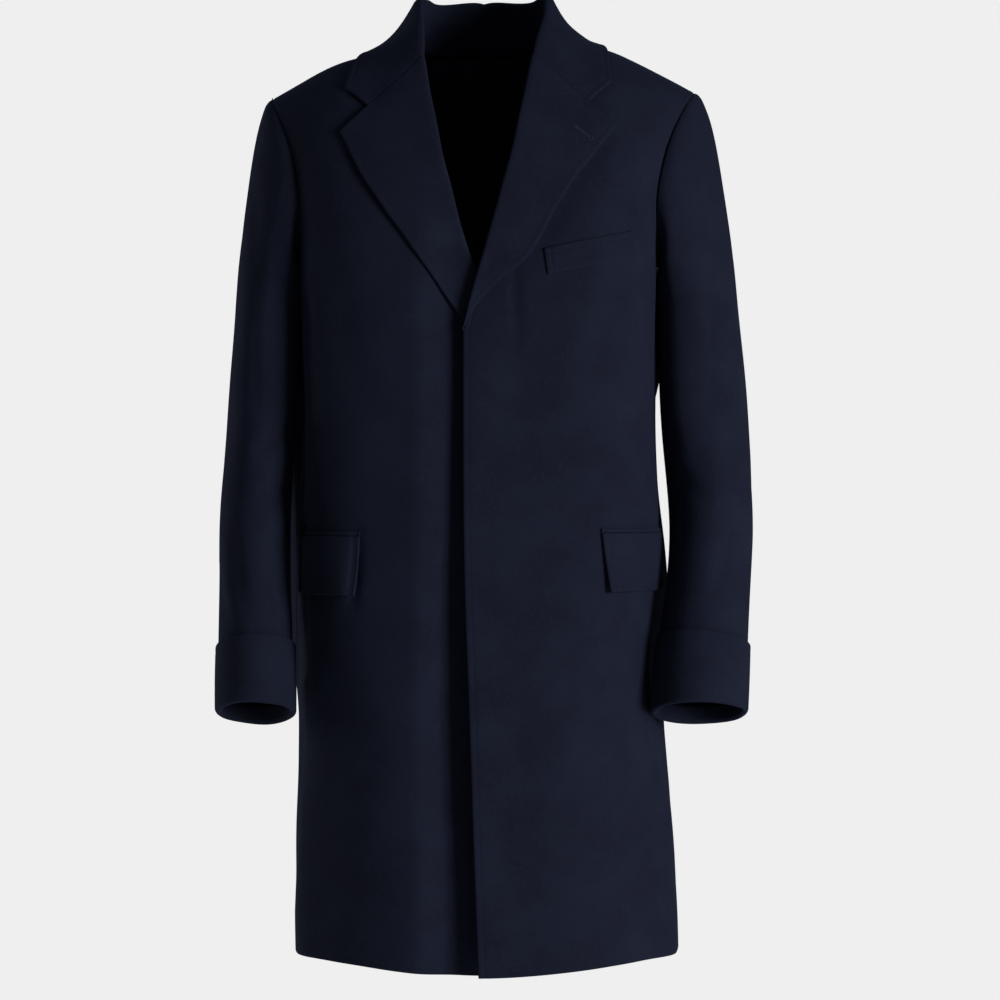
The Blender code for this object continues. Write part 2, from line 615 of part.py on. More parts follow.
def patch(name, x, low, high, length, lift, columns, rows, rise=0.0, slant=0.0):
    # A flat trim on the front, made from the front's own face and moved out.
    share = np.linspace(0, 1, columns)
    heights = np.linspace(low, high, rows)
    fronts = x + np.sign(x) * slant * (high - heights) / (high - low)
    angles = np.stack([girth_angles(start, z, length - abs(start - x), columns)
                       for start, z in zip(fronts, heights)])
    heights = heights[:, None] + rise * share[None, :]
    flat = torso(angles, (heights - CHEST_Z) / RISE)
    climb = climb_at(flat[..., 0], heights)
    turn = 1 if x > 0 else -1
    faces = [torso(angles, climb, SEAM + lift + out)[:, ::turn] for out in (TRIM, 0)]
    return wall(name, faces[0], faces[1], NAVY_LIGHT)


def build():
    for item in list(bpy.data.objects):
        bpy.data.objects.remove(item)
    front("front_left", 1, OVER_EDGE, ROLL_LEFT)
    front("front_right", -1, UNDER_EDGE, ROLL_RIGHT)
    back("back_left", 1)
    back("back_right", -1)
    lapel("lapel_left", 1, ROLL_LEFT, LAPEL_LEFT, NOTCH_LEFT, False)
    lapel("lapel_right", -1, ROLL_RIGHT, LAPEL_RIGHT, NOTCH_RIGHT, True)
    collar()
    for side in (1, -1):
        sleeve(side)
        cuff(side)
    for key, flap in (("left", FLAP_LEFT), ("right", FLAP_RIGHT)):
        patch("flap_" + key, flap["x"], flap["low"], flap["top"], flap["length"], FLAP_LIFT, 9, 4,
              slant=flap["slant"])
        patch("jet_" + key, flap["x"], flap["top"] + SEAM, flap["top"] + JET_HEIGHT,
              flap["length"], TRIM_LIFT, 9, 2)
    patch("breast_welt", WELT["x"], WELT["low"], WELT["high"], WELT["length"], TRIM_LIFT, 7, 3,
          WELT["rise"])


build()
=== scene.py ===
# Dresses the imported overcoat: navy milled wool over the fixed frame, in metres, wearer facing -Y.
import math
import bpy
import numpy as np
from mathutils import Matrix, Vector


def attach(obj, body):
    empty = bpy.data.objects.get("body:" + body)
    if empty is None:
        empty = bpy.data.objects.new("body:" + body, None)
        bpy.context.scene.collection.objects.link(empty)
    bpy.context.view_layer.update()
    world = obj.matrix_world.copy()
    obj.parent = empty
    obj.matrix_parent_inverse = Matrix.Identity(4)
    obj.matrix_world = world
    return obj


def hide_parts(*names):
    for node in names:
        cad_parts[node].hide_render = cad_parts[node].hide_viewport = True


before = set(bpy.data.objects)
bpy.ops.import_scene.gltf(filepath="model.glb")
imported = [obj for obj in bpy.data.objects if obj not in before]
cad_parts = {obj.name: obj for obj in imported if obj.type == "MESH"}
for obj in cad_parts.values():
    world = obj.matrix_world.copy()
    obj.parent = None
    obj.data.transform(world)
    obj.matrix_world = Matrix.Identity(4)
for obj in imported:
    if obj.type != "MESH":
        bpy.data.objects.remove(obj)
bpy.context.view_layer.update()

mm = 0.001
sideName = {1: "left", -1: "right"}

cloth = {
    "wall": 2.4 * mm,      # fronts, back and sleeves
    "doubled": 3.0 * mm,   # lapels, collar, flaps and cuffs: two layers and a canvas
    "seam": 0.35 * mm,     # space between one layer and the next
    "lap": 0.5 * mm,       # how far the pieces of a sewn seam run on past its line
    "step": 4.0 * mm,      # size of the mesh away from the edges
    "stitchIn": 6.5 * mm,  # the row of hidden stitches in from a finished edge
    "stitch": 6.0 * mm,    # length of one of them
}
# a row of stitches: depth in mm, how much of it comes and goes, half width in mm
stitches = {"panel": (0.42, 0.25, 1.1), "turned": (0.30, 0.3, 1.2)}
# how each kind of side sinks or rises: depth, distance from the side and half width in mm
grooves = {"edge": [], "stitched": [(-0.16, 3.2, 2.0)], "turned": [(-0.18, 3.4, 2.2)],
           "seam": [(0.95, 0, 1.5), (-0.18, 4.5, 2.5)], "pressed": [(0.12, 0, 1.3)],
           "gorge": [(0.45, 0, 1.2)]}

torsoForm = {
    "chestZ": -0.250, "rise": 0.31, "shoulderHalf": 0.245,
    "neckHalf": 0.0855, "neckRound": 0.035, "fall": 0.385, "curve": 0.70, "tilt": 0.0137,
    # hollows of the shoulder line beside the neck: x, depth, spread
    "hollows": [(-0.113, 0.0085, 0.036), (0.104, 0.0060, 0.028)],
    # height, half width, depth in front, depth behind, sideways shift, squareness
    "levels": np.array([
        (-1.013, 0.2095, 0.165, 0.168, 0.003, 2.5),
        (-0.850, 0.2070, 0.160, 0.163, 0.001, 2.6),
        (-0.620, 0.2008, 0.151, 0.155, -0.0033, 2.8),
        (-0.420, 0.1930, 0.139, 0.138, -0.0055, 3.2),
        (-0.250, 0.1940, 0.131, 0.138, -0.006, 4.0)]),
    # large folds: degrees round from the front, height, depth inward, spread in degrees, in height
    "folds": [
        (72, -0.725, 0.019, 22, 0.11), (-74, -0.725, 0.007, 20, 0.10),
        (118, -1.013, 0.008, 9, 0.38), (147, -1.013, 0.006, 8, 0.30),
        (-128, -1.013, 0.009, 10, 0.42), (-158, -1.013, 0.005, 7, 0.26),
        (52, -1.013, 0.004, 9, 0.30), (-38, -1.013, 0.003, 8, 0.25),
        (-113, -0.550, -0.024, 13, 0.21), (112, -0.350, -0.0135, 13, 0.050),
        (108, -0.630, -0.012, 14, 0.10)],
    # the hem hangs lower at the front edges than at the sides and the back
    "hemRise": 0.007, "hemDrop": 0.0115, "hemPower": 6, "hemFrom": -0.80,
    "sideAngle": 96.0,
    # armholes from the underarm to the shoulder tip: degrees from the middle, climb
    "holeFront": [(96, 0.0), (82, 0.015), (68, 0.065), (60, 0.16), (57.5, 0.33), (57, 0.56),
                  (56, 0.80), (54.5, 1.0)],
    "holeBack": [(96, 0.0), (107, 0.02), (117, 0.08), (121.5, 0.20), (122.5, 0.38),
                 (123, 0.60), (124, 0.82), (125.5, 1.0)],
}


def alike(*values):
    return np.broadcast_arrays(*(np.asarray(v, float) for v in values))


def smoothThrough(knots, values, at):
    knots, values = np.asarray(knots, float), np.asarray(values, float)
    at = np.clip(at, knots[0], knots[-1])
    slopes = np.gradient(values, knots)
    i = np.clip(np.searchsorted(knots, at) - 1, 0, len(knots) - 2)
    span = knots[i + 1] - knots[i]
    t = (at - knots[i]) / span
    return (values[i] * (1 + 2 * t) * (1 - t) ** 2 + values[i + 1] * t * t * (3 - 2 * t)
            + span * (slopes[i] * t * (1 - t) ** 2 - slopes[i + 1] * t * t * (1 - t)))


def steps(points, axis=0):
    return np.linalg.norm(np.diff(points, axis=axis), axis=-1)


def unit(ways):
    return ways / np.maximum(np.linalg.norm(ways, axis=-1, keepdims=True), 1e-12)


def along(points, where):
    # points on a smooth curve, at shares of its length
    points = np.asarray(points, float)
    length = np.r_[0, np.cumsum(steps(points))]
    at = np.asarray(where) * length[-1]
    return np.stack([smoothThrough(length, points[:, k], at) for k in range(points.shape[1])], 1)


def blend(low, high, at):
    t = np.clip((at - low) / (high - low), 0, 1)
    return t * t * (3 - 2 * t)


def hump(away, width):
    return np.exp(-(away / width) ** 2)


def waves(rows, a, b=0.0):
    # rows of height in mm, how fast it runs along a and along b, and its start
    return mm * sum(high * np.sin(p * a + q * b + start) for high, p, q, start in rows)


def shoulderHeight(x):
    f = torsoForm
    fall = np.sqrt(x * x + f["neckRound"] ** 2) - f["neckHalf"]
    height = -f["fall"] * fall - f["curve"] * fall * np.abs(fall) + f["tilt"] * x
    for middle, depth, wide in f["hollows"]:
        height = height - depth * np.exp(-((x - middle) / wide) ** 2)
    return height


def section(climb):
    # climb 0 is the chest, 1 the ridge of the shoulder, each unit below the chest is rise high
    f = torsoForm
    z = f["chestZ"] + np.minimum(climb, 0) * f["rise"]
    turn = np.radians(90 * np.clip(climb, 0, 1))
    table = f["levels"]
    half, front, back, shift, square = [smoothThrough(table[:, 0], table[:, k], z)
                                        for k in range(1, 6)]
    half = half + (f["shoulderHalf"] - table[-1, 1]) * np.sin(turn) ** 2
    return z, turn, half, front, back, shift * np.cos(turn), square


def place(angle, climb):
    z, turn, half, front, back, shift, square = section(climb)
    a = np.radians(angle)
    across, ahead = np.sin(a), np.cos(a)
    size = (np.abs(across) ** square + np.abs(ahead) ** square) ** (-1 / square)
    x = shift + half * size * across
    y = -np.where(ahead > 0, front, back) * size * ahead * np.cos(turn)
    f = torsoForm
    lift = f["hemRise"] - f["hemDrop"] * np.maximum(ahead, 0) ** f["hemPower"]
    lift = lift * blend(f["hemFrom"], f["levels"][0, 0], z)
    return np.stack([x, y, z + lift + (shoulderHeight(x) - f["chestZ"]) * np.sin(turn)], -1)


def foldDepth(angle, climb):
    z = torsoForm["chestZ"] + np.minimum(climb, 0) * torsoForm["rise"]
    total = np.zeros(np.shape(angle))
    for middle, height, depth, wide, tall in torsoForm["folds"]:
        away = (angle - middle + 180) % 360 - 180
        total += depth * hump(away, wide) * hump(z - height, tall)
    return total


def torso(angle, climb, out=0.0):
    angle, climb, out = alike(angle, climb, out)
    roundWay = place(angle + 0.2, climb) - place(angle - 0.2, climb)
    upward = place(angle, climb + 0.002) - place(angle, climb - 0.002)
    ridge = climb > 0.998
    upward[ridge] = (place(angle, climb) - place(angle, climb - 0.004))[ridge]
    normal = unit(np.cross(roundWay, upward))
    return place(angle, climb) + normal * (out - foldDepth(angle, climb))[..., None]


def angleAt(x, climb):
    _, _, half, _, _, shift, square = section(climb)
    across = np.clip((x - shift) / half, -0.9999, 0.9999)
    return np.degrees(np.arctan2(across, (1 - np.abs(across) ** square) ** (1 / square)))


def lowClimb(z):
    return (z - torsoForm["chestZ"]) / torsoForm["rise"]


def climbAt(x, z):
    chest = torsoForm["chestZ"]
    high = np.degrees(np.arcsin(np.clip((z - chest) / (shoulderHeight(x) - chest), 0, 1))) / 90
    return np.where(z < chest, lowClimb(z), high)


def drape(x, climb, out=0.0):
    # a climb above 1 runs down the back
    x, climb, out = alike(x, climb, out)
    behind = climb > 1
    height = np.where(behind, 2 - climb, climb)
    angle = angleAt(x, height)
    return torso(np.where(behind, 180 - angle, angle), height, out)


def seen(points):
    points = np.asarray(points, float)
    return np.stack([points[:, 0], climbAt(points[:, 0], points[:, 1])], 1)


edgeSteps = np.array([0, 0.25, 0.7, 1.3, 2.1, 3.1, 4.2, 5.2, 5.9, 6.5, 7.1, 7.8, 9.0, 11.0]) * mm
seamSteps = np.array([0, 0.5, 1.1, 1.8, 2.8, 4.2, 6.4]) * mm


def shares(length, start, end):
    # places along a length, close together at its ends: "edge" is a finished edge, "seam" a seam
    kinds = {"edge": edgeSteps, "seam": seamSteps, "plain": np.array([0.0])}
    first, last = kinds[start], kinds[end]
    middle = length - first[-1] - last[-1]
    count = max(2, int(round(middle / cloth["step"])))
    inner = first[-1] + middle * np.arange(1, count) / count
    return np.r_[first, inner, (length - last)[::-1]] / length


def gridNormals(grid, closed=False):
    if closed:
        roundWay = np.roll(grid, -1, 1) - np.roll(grid, 1, 1)
    else:
        roundWay = np.gradient(grid, axis=1)
    return unit(np.cross(roundWay, np.gradient(grid, axis=0)))


def runs(grid):
    # distance of each point from the four sides of its grid
    across = np.pad(np.cumsum(steps(grid, 1), 1), ((0, 0), (1, 0)))
    up = np.pad(np.cumsum(steps(grid), 0), ((1, 0), (0, 0)))
    return {"left": across, "right": across[:, -1:] - across, "low": up, "top": up[-1:] - up}


def rounded(away, r):
    # how far a finished edge of radius r falls back
    inside = np.clip(1 - away / r, 0, 1)
    return r * (1 - np.sqrt(np.maximum(1 - inside ** 2, 0))) * 0.85


def stitchRow(kind, run, away):
    # a row of hidden stitches beside an edge draws the cloth in, most at each stitch
    deep, swing, wide = stitches[kind]
    pull = 1 - swing + swing * np.cos(run * 2 * math.pi / cloth["stitch"])
    return deep * mm * pull * hump(away - cloth["stitchIn"], wide * mm)


def groove(kind, away):
    return sum(deep * mm * hump(away - at * mm, wide * mm) for deep, at, wide in grooves[kind])


def edgeForm(grid, thick, sides):
    # "edge" is a finished edge, "stitched" one with a row of stitches, "seam" a sewn seam and
    # "pressed" a seam pressed so flat that it hardly shows
    away = runs(grid)
    depth = np.zeros(grid.shape[:2])
    for side, kind in sides.items():
        d = away[side]
        if kind in ("edge", "stitched"):
            depth += rounded(d, thick * 0.55)
        if kind == "stitched":
            run = away["low" if side in ("left", "right") else "left"]
            depth += stitchRow("panel", run, d)
        depth += groove(kind, d)
    return depth


def putIn(name, data):
    item = bpy.data.objects.new(name, data)
    bpy.context.scene.collection.objects.link(item)
    return item


def putMesh(name, points, faces, material):
    mesh = bpy.data.meshes.new(name)
    mesh.from_pydata(points.tolist(), [], faces)
    mesh.shade_smooth()
    mesh.materials.append(material)
    return putIn(name, mesh)


def ringed(grid):
    return np.concatenate([grid, grid[:, :1]], 1)


def quads(ids):
    # the corners of each cell of a grid of point numbers
    return np.stack([ids[:-1, :-1], ids[:-1, 1:], ids[1:, 1:], ids[1:, :-1]], -1).reshape(-1, 4)


def meshFrom(name, outer, inner, closed=False):
    # one closed wall of quads between an outer and an inner grid
    points = np.r_[outer.reshape(-1, 3), inner.reshape(-1, 3)]
    back = len(points) // 2
    ids = np.arange(back).reshape(outer.shape[:2])
    if closed:
        ids = ringed(ids)
    both = np.stack([ids, ids + back])
    faces = [quads(ids), quads(both[1].T), quads(both[:, 0].T), quads(both[:, -1])]
    if not closed:
        faces += [quads(both[:, :, 0]), quads(both[:, :, -1].T)]
    return putMesh(name, points, np.concatenate(faces).tolist(), wool)


def shell(name, face, thick, sides, relief, closed=False):
    # a thin wall of cloth: the face is moved by its relief, the back lies one thickness behind
    normals = gridNormals(face, closed)
    depth = edgeForm(face, np.max(thick), sides)
    outer = face + normals * (relief - depth)[..., None]
    inner = face + normals * (relief - thick + depth * 0.5)[..., None]
    return meshFrom("cloth_" + name, outer, inner, closed)


def declare(item, face, name):
    # measures the widest row and the longest column of what shows, which nothing uses, then hangs
    # the piece on the root and hides the imported part
    wide, tall = (round(float(steps(face, k).sum(k).max()), 4) for k in (1, 0))
    tall = max(tall, 0.0101)  # a jet is cut to be folded double
    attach(item, "root")
    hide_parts(name)


def sew(name, face, thick, sides, relief=0.0, closed=False):
    item = shell(name, face, thick, sides, relief, closed)
    declare(item, ringed(face) if closed else face, name)


def linear(hexColour):
    parts = [int(hexColour[i:i + 2], 16) / 255 for i in (1, 3, 5)]
    return (*(c / 12.92 if c <= 0.04045 else ((c + 0.055) / 1.055) ** 2.4 for c in parts), 1.0)


def feed(tree, node, values, links):
    for key, value in values.items():
        node.inputs[key].default_value = value
    for key, source in links.items():
        tree.links.new(source, node.inputs[key])


def addNode(tree, kind, values={}, links={}, **settings):
    node = tree.nodes.new("ShaderNode" + kind)
    for key, value in settings.items():
        setattr(node, key, value)
    feed(tree, node, values, links)
    return node


def startMaterial(name, roughness):
    material = bpy.data.materials.new(name)
    material.use_nodes = True
    tree = material.node_tree
    shader = tree.nodes["Principled BSDF"]
    shader.inputs["Roughness"].default_value = roughness
    return material, tree, shader, addNode(tree, "TexCoord").outputs["Object"]


# Melton: woven wool, milled until the weave closes and then cropped. It looks matt and solid,
# with a short nap that catches light at a glancing angle and small lighter flecks of fibre.
melton = {
    "deep": "#1a1d2b", "light": "#1d2130", "fleck": "#22263a", "sheenTint": "#6f7ba6",
    "fleckSize": 0.9 * mm,   # clumps of fibre
    "cloudSize": 45 * mm,    # where the nap lies a little differently
    "fibreLength": 3.0 * mm, "fibreWidth": 0.45 * mm,
    "fibreHeight": 0.10 * mm, "pileHeight": 0.35 * mm,
    "roughness": 0.95, "sheen": 0.09, "sheenRoughness": 0.45, "gloss": 0.01,
}


def meltonWool(name):
    w = melton
    material, tree, shader, where = startMaterial(name, w["roughness"])
    cloud = addNode(tree, "TexNoise", {"Scale": 1 / w["cloudSize"], "Detail": 3.0,
                    "Roughness": 0.55}, {"Vector": where})
    fleck = addNode(tree, "TexNoise", {"Scale": 1 / (4 * w["fleckSize"]), "Detail": 4.0,
                    "Roughness": 0.7}, {"Vector": where})
    lie = addNode(tree, "Mapping", {"Scale": (1 / w["fibreWidth"], 1 / w["fibreWidth"],
                  1 / w["fibreLength"])}, {"Vector": where})
    fibre = addNode(tree, "TexNoise", {"Scale": 1.0, "Detail": 3.0, "Roughness": 0.6,
                    "Distortion": 0.6}, {"Vector": lie.outputs["Vector"]})
    tone = addNode(tree, "MapRange", {"From Min": 0.35, "From Max": 0.65},
                   {"Value": cloud.outputs["Fac"]})
    ramp = addNode(tree, "ValToRGB", {}, {"Fac": tone.outputs["Result"]})
    ramp.color_ramp.elements[0].color = linear(w["deep"])
    ramp.color_ramp.elements[1].color = linear(w["light"])
    spots = addNode(tree, "MapRange", {"From Min": 0.50, "From Max": 0.78,
                    "To Max": 0.55}, {"Value": fleck.outputs["Fac"]})
    mixed = addNode(tree, "MixRGB", {"Color2": linear(w["fleck"])},
                    {"Fac": spots.outputs["Result"], "Color1": ramp.outputs["Color"]})
    pile = addNode(tree, "Bump", {"Strength": 0.5, "Distance": w["pileHeight"]},
                   {"Height": fleck.outputs["Fac"]})
    nap = addNode(tree, "Bump", {"Strength": 0.6, "Distance": w["fibreHeight"]},
                  {"Height": fibre.outputs["Fac"], "Normal": pile.outputs["Normal"]})
    feed(tree, shader, {"Specular IOR Level": w["gloss"], "Sheen Weight": w["sheen"],
                        "Sheen Roughness": w["sheenRoughness"],
                        "Sheen Tint": linear(w["sheenTint"])},
         {"Base Color": mixed.outputs["Color"], "Normal": nap.outputs["Normal"]})
    return material


wool = meltonWool("navyMeltonWool")


# Soft troughs (positive depth) and ridges (negative) on the torso: depth and half width in mm,
# then a line of degrees round from the front and height. The line fades at both ends.
bodyCreases = [
    (3.2, 5, (10.9, -0.255), (11.6, -0.31), (12.1, -0.362)),
    (1.6, 16, (12.8, -0.32), (13.6, -0.4), (13.2, -0.5)),
    (1.6, 6, (8.2, -0.262), (7.6, -0.275), (6.4, -0.292)),
    (2.2, 30, (20, -0.3), (19, -0.48), (17, -0.7)),
    (2.6, 34, (-24, -0.3), (-27, -0.52), (-25, -0.76)),
    (2.8, 20, (46, -0.17), (40, -0.29), (37, -0.42)),
    (2.6, 21, (-47, -0.18), (-42, -0.3), (-36, -0.43)),
    (3, 17, (60, -0.3), (54, -0.38), (50, -0.5)),
    (2.8, 16, (-62, -0.29), (-55, -0.39), (-53, -0.5)),
    (4, 26, (33, -0.64), (36, -0.82), (38, -1.01)),
    (4.2, 28, (-44, -0.64), (-47, -0.83), (-50, -1.01)),
    (-3.6, 24, (64, -0.66), (66, -0.84), (65, -1.01)),
    (-3, 22, (-68, -0.7), (-66, -0.86), (-64, -1.01)),
    (2, 22, (-13, -0.56), (-15, -0.78), (-16, -1.01)),
    (-4.8, 26, (104, -0.225), (104, -0.32), (104, -0.402)),
    (-5, 26, (-103, -0.225), (-103, -0.32), (-103, -0.41)),
    (8.5, 34, (-74, -0.27), (-74, -0.5), (-72, -0.76), (-72, -0.96)),
    (4.4, 12, (10.8, -0.271), (14, -0.261), (18.8, -0.236), (28.4, -0.168), (34.3, -0.131),
     (38, -0.108)),
    (4.6, 4.6, (-36.6, -0.538), (-37.1, -0.58), (-38.1, -0.634)),
    (4.5, 22, (106, -0.56), (108, -0.78), (107, -1.01)),
    (4, 24, (-107, -0.57), (-110, -0.79), (-108, -1.01)),
    (4.5, 16, (118, -0.11), (126, -0.2), (133, -0.3)),
    (4, 18, (-117, -0.115), (-124, -0.21), (-134, -0.32)),
    (3, 15, (128, -0.15), (138, -0.27), (142, -0.42)),
    (3.2, 14, (-130, -0.16), (-139, -0.25), (-141, -0.38)),
    (2.6, 18, (160, -0.33), (166, -0.4), (176, -0.43)),
    (3, 17, (-158, -0.345), (-165, -0.41), (-175, -0.445)),
    (2, 15, (150, -0.42), (158, -0.46), (170, -0.48)),
    (-4.5, 24, (132, -0.56), (134, -0.78), (133, -1.01)),
    (-4.2, 26, (-143, -0.6), (-142, -0.8), (-141, -1.01)),
    (3.6, 22, (164, -0.62), (165, -0.83), (166, -1.01)),
]

# The same on the sleeves: degrees round from the outside (front is positive) and height.
sleeveCreases = {
    1: [
        (-8.5, 22, (134, -0.17), (132, -0.33), (128, -0.5)),
        (3, 16, (40, -0.15), (62, -0.215), (84, -0.3)),
        (2.6, 14, (70, -0.25), (76, -0.34), (86, -0.42)),
        (2.4, 13, (150, -0.44), (118, -0.462), (84, -0.45)),
        (2.2, 14, (158, -0.49), (124, -0.5), (92, -0.52)),
        (2.4, 12, (62, -0.52), (70, -0.57), (90, -0.625)),
        (1.8, 13, (20, -0.56), (30, -0.61), (56, -0.655)),
        (2.8, 20, (-60, -0.17), (-74, -0.26), (-70, -0.38)),
        (2.2, 15, (-120, -0.42), (-84, -0.44), (-50, -0.425)),
        (-1.6, 22, (10, -0.25), (8, -0.38), (14, -0.5)),
        (2.6, 13, (-30, -0.59), (-50, -0.63), (-90, -0.65)),
        (3.4, 12, (196, -0.3), (190, -0.34), (172, -0.37)),
    ],
    -1: [
        (-9.5, 22, (138, -0.17), (134, -0.33), (130, -0.5)),
        (2.8, 17, (38, -0.16), (58, -0.23), (80, -0.32)),
        (2.2, 13, (74, -0.27), (78, -0.35), (88, -0.43)),
        (4, 12, (154, -0.43), (120, -0.452), (86, -0.47)),
        (3, 13, (160, -0.5), (130, -0.515), (96, -0.505)),
        (2.6, 12, (56, -0.54), (66, -0.585), (84, -0.64)),
        (2, 12, (16, -0.58), (34, -0.625), (60, -0.65)),
        (3, 19, (-64, -0.19), (-72, -0.28), (-66, -0.4)),
        (2.4, 16, (-118, -0.41), (-86, -0.45), (-46, -0.44)),
        (-1.5, 20, (4, -0.23), (10, -0.36), (8, -0.48)),
        (2.4, 12, (-34, -0.6), (-56, -0.64), (-94, -0.648)),
        (3, 13, (194, -0.31), (188, -0.35), (170, -0.385)),
    ],
}


def fromLine(spots, line):
    # distance of each spot from a line of points, and how far along the line it is, 0 to 1
    near = np.full(spots.shape[:-1], 9.0)
    share = np.zeros(spots.shape[:-1])
    for k, (a, b) in enumerate(zip(line[:-1], line[1:])):
        span = b - a
        t = np.clip(((spots - a) @ span) / max(span @ span, 1e-12), 0, 1)
        away = np.linalg.norm(spots - a - t[..., None] * span, axis=-1)
        share = np.where(away < near, (k + t) / (len(line) - 1), share)
        near = np.minimum(near, away)
    return near, share


def creaseRelief(table, angle, z, arm):
    # arm is the metres of cloth that one degree takes
    total = np.zeros(np.shape(angle))
    for depth, wide, *knots in table:
        line = along(knots, np.linspace(0, 1, 9))
        turn = (angle - line[0, 0] + 180) % 360 - 180
        near, share = fromLine(np.stack([turn * arm, z], -1),
                               (line - (line[0, 0], 0)) * (arm, 1))
        if knots[-1][1] <= -1.0:  # runs out at the hem
            fade = np.sin(share * math.pi / 2)
        else:
            fade = np.sin(share * math.pi) ** 0.7
        total -= depth * mm * fade * hump(near, wide * mm)
    return total


# the slight unevenness of a big soft panel, round it and up it
panelWaves = [(0.6, 7, 9, 0), (0.42, 13, -17, 1.3), (0.36, 5, 31, 0), (0.24, -9, 52, 2.1)]
bodyCreaseArm = 0.165 * math.pi / 180  # metres of cloth that one degree takes
creaseFade = 28 * mm  # creases die away before an armhole


def bodyRelief(angle, z):
    wrapped = (angle + 180) % 360 - 180
    return (creaseRelief(bodyCreases, wrapped, z, bodyCreaseArm)
            + waves(panelWaves, np.radians(wrapped), z))


fronts = {
    # the edge over the other front and the one under it: height and x
    "edge": {1: [(-1.013, -0.005), (-0.890, -0.0098), (-0.730, -0.0153), (-0.610, -0.0197),
                 (-0.460, -0.0216), (-0.3366, -0.0216)],
             -1: [(-1.013, 0.036), (-0.730, 0.028), (-0.500, 0.023), (-0.385, 0.0225)]},
    "lap": 0.0120, "lapLow": 0.0070, "standOff": 0.0045,
    # the line each lapel rolls over: x and height
    "roll": {1: [(-0.0216, -0.3366), (-0.0045, -0.2754), (0.0088, -0.2293), (0.0215, -0.1865),
                 (0.0345, -0.1360), (0.0450, -0.0849), (0.0545, -0.0408)],
             -1: [(0.0225, -0.3850), (-0.0100, -0.2720), (-0.0268, -0.2218), (-0.0430, -0.1615),
                  (-0.0540, -0.1085), (-0.0630, -0.0577), (-0.0655, -0.0430)]},
    "hem": -1.013,
}
# rough lengths of a front and of a back up to the chest, from there up, and across
panelSizes = {"front": (0.70, 0.27, 0.26), "back": (0.76, 0.24, 0.25)}
# neck seam as x and climb, with the height of the collar's stand above it
neckSeam = [(0.0720, 0.86, 0.018), (0.0780, 1.00, 0.034), (0.0740, 1.16, 0.0405),
            (0.0450, 1.31, 0.049), (0.0, 1.36, 0.052)]
ridgeEnd = 1.0
seamGap = -math.degrees(cloth["lap"] / 0.19)  # neighbours run a little into each other


def lapOut(points):
    # the under front sinks behind the over front near the middle, more so towards the hem
    x, z = points[..., 0], points[..., 2]
    sunk = fronts["lap"] + fronts["lapLow"] * blend(-0.360, -0.850, z)
    return -sunk * blend(-0.075, -0.028, x) * blend(-0.150, -0.262, z)


def armhole(points, side, where):
    path = along(np.asarray(points, float) * (1 / 90, 1), where) * (90, 1)
    path[-1, 1] = ridgeEnd
    return path * (side, 1)


def hangPanel(name, face, climb, hole, sides, relief):
    # the creases die away before the armhole and flatten a little towards the shoulder
    relief = relief * blend(0, creaseFade, fromLine(face, hole)[0]) * blend(1, 0.92, climb)
    sew(name, face, cloth["wall"], {**sides, "low": "edge", "top": "seam"}, relief)


def spreadBetween(left, right, t):
    t = np.asarray(t)[None, :, None]
    return left[:, None, :] * (1 - t) + right[:, None, :] * t


def makeFront(side):
    edge = fronts["edge"][side]
    below, above, wide = panelSizes["front"]
    lowWhere = shares(below, "edge", "plain")
    highWhere = shares(above, "plain", "seam")
    top = edge[-1][0]
    z = fronts["hem"] + (top - fronts["hem"]) * lowWhere
    x = smoothThrough(*zip(*edge), z)
    climb = lowClimb(z)
    lowLeft = np.stack([angleAt(x, climb), climb], 1)
    lowRight = np.stack([np.full(len(lowWhere), side * (torsoForm["sideAngle"] - seamGap)),
                         lowClimb(fronts["hem"]) * (1 - lowWhere)], 1)
    neck = np.array([(side * x, climb) for x, climb, _ in neckSeam[:2]])
    path = along(np.r_[seen(fronts["roll"][side]), neck], highWhere)
    path[-1, 1] = ridgeEnd
    highLeft = np.stack([angleAt(*path.T), path[:, 1]], 1)
    highRight = armhole(torsoForm["holeFront"], side, highWhere)
    highRight[:, 0] -= side * seamGap
    left = np.r_[lowLeft, highLeft[1:]]
    right = np.r_[lowRight, highRight[1:]]
    t = shares(wide, "edge", "seam")
    if side < 0:
        left, right = right, left
        t = 1 - t[::-1]
    where = spreadBetween(left, right, t)
    angle, climb = where[..., 0], where[..., 1]
    face = torso(angle, climb)
    face = torso(angle, climb, lapOut(face) if side < 0 else 0.0)
    relief = bodyRelief(angle, face[..., 2])
    if side > 0:
        away = runs(face)["left"]
        relief += fronts["standOff"] * hump(away, 0.030) * blend(-0.300, -0.700, face[..., 2])
    free, sewn = ("left", "right") if side > 0 else ("right", "left")
    hole = face[len(lowWhere):, -1 if side > 0 else 0]
    hangPanel("front_" + sideName[side], face, climb, hole, {free: "stitched", sewn: "seam"},
              relief)


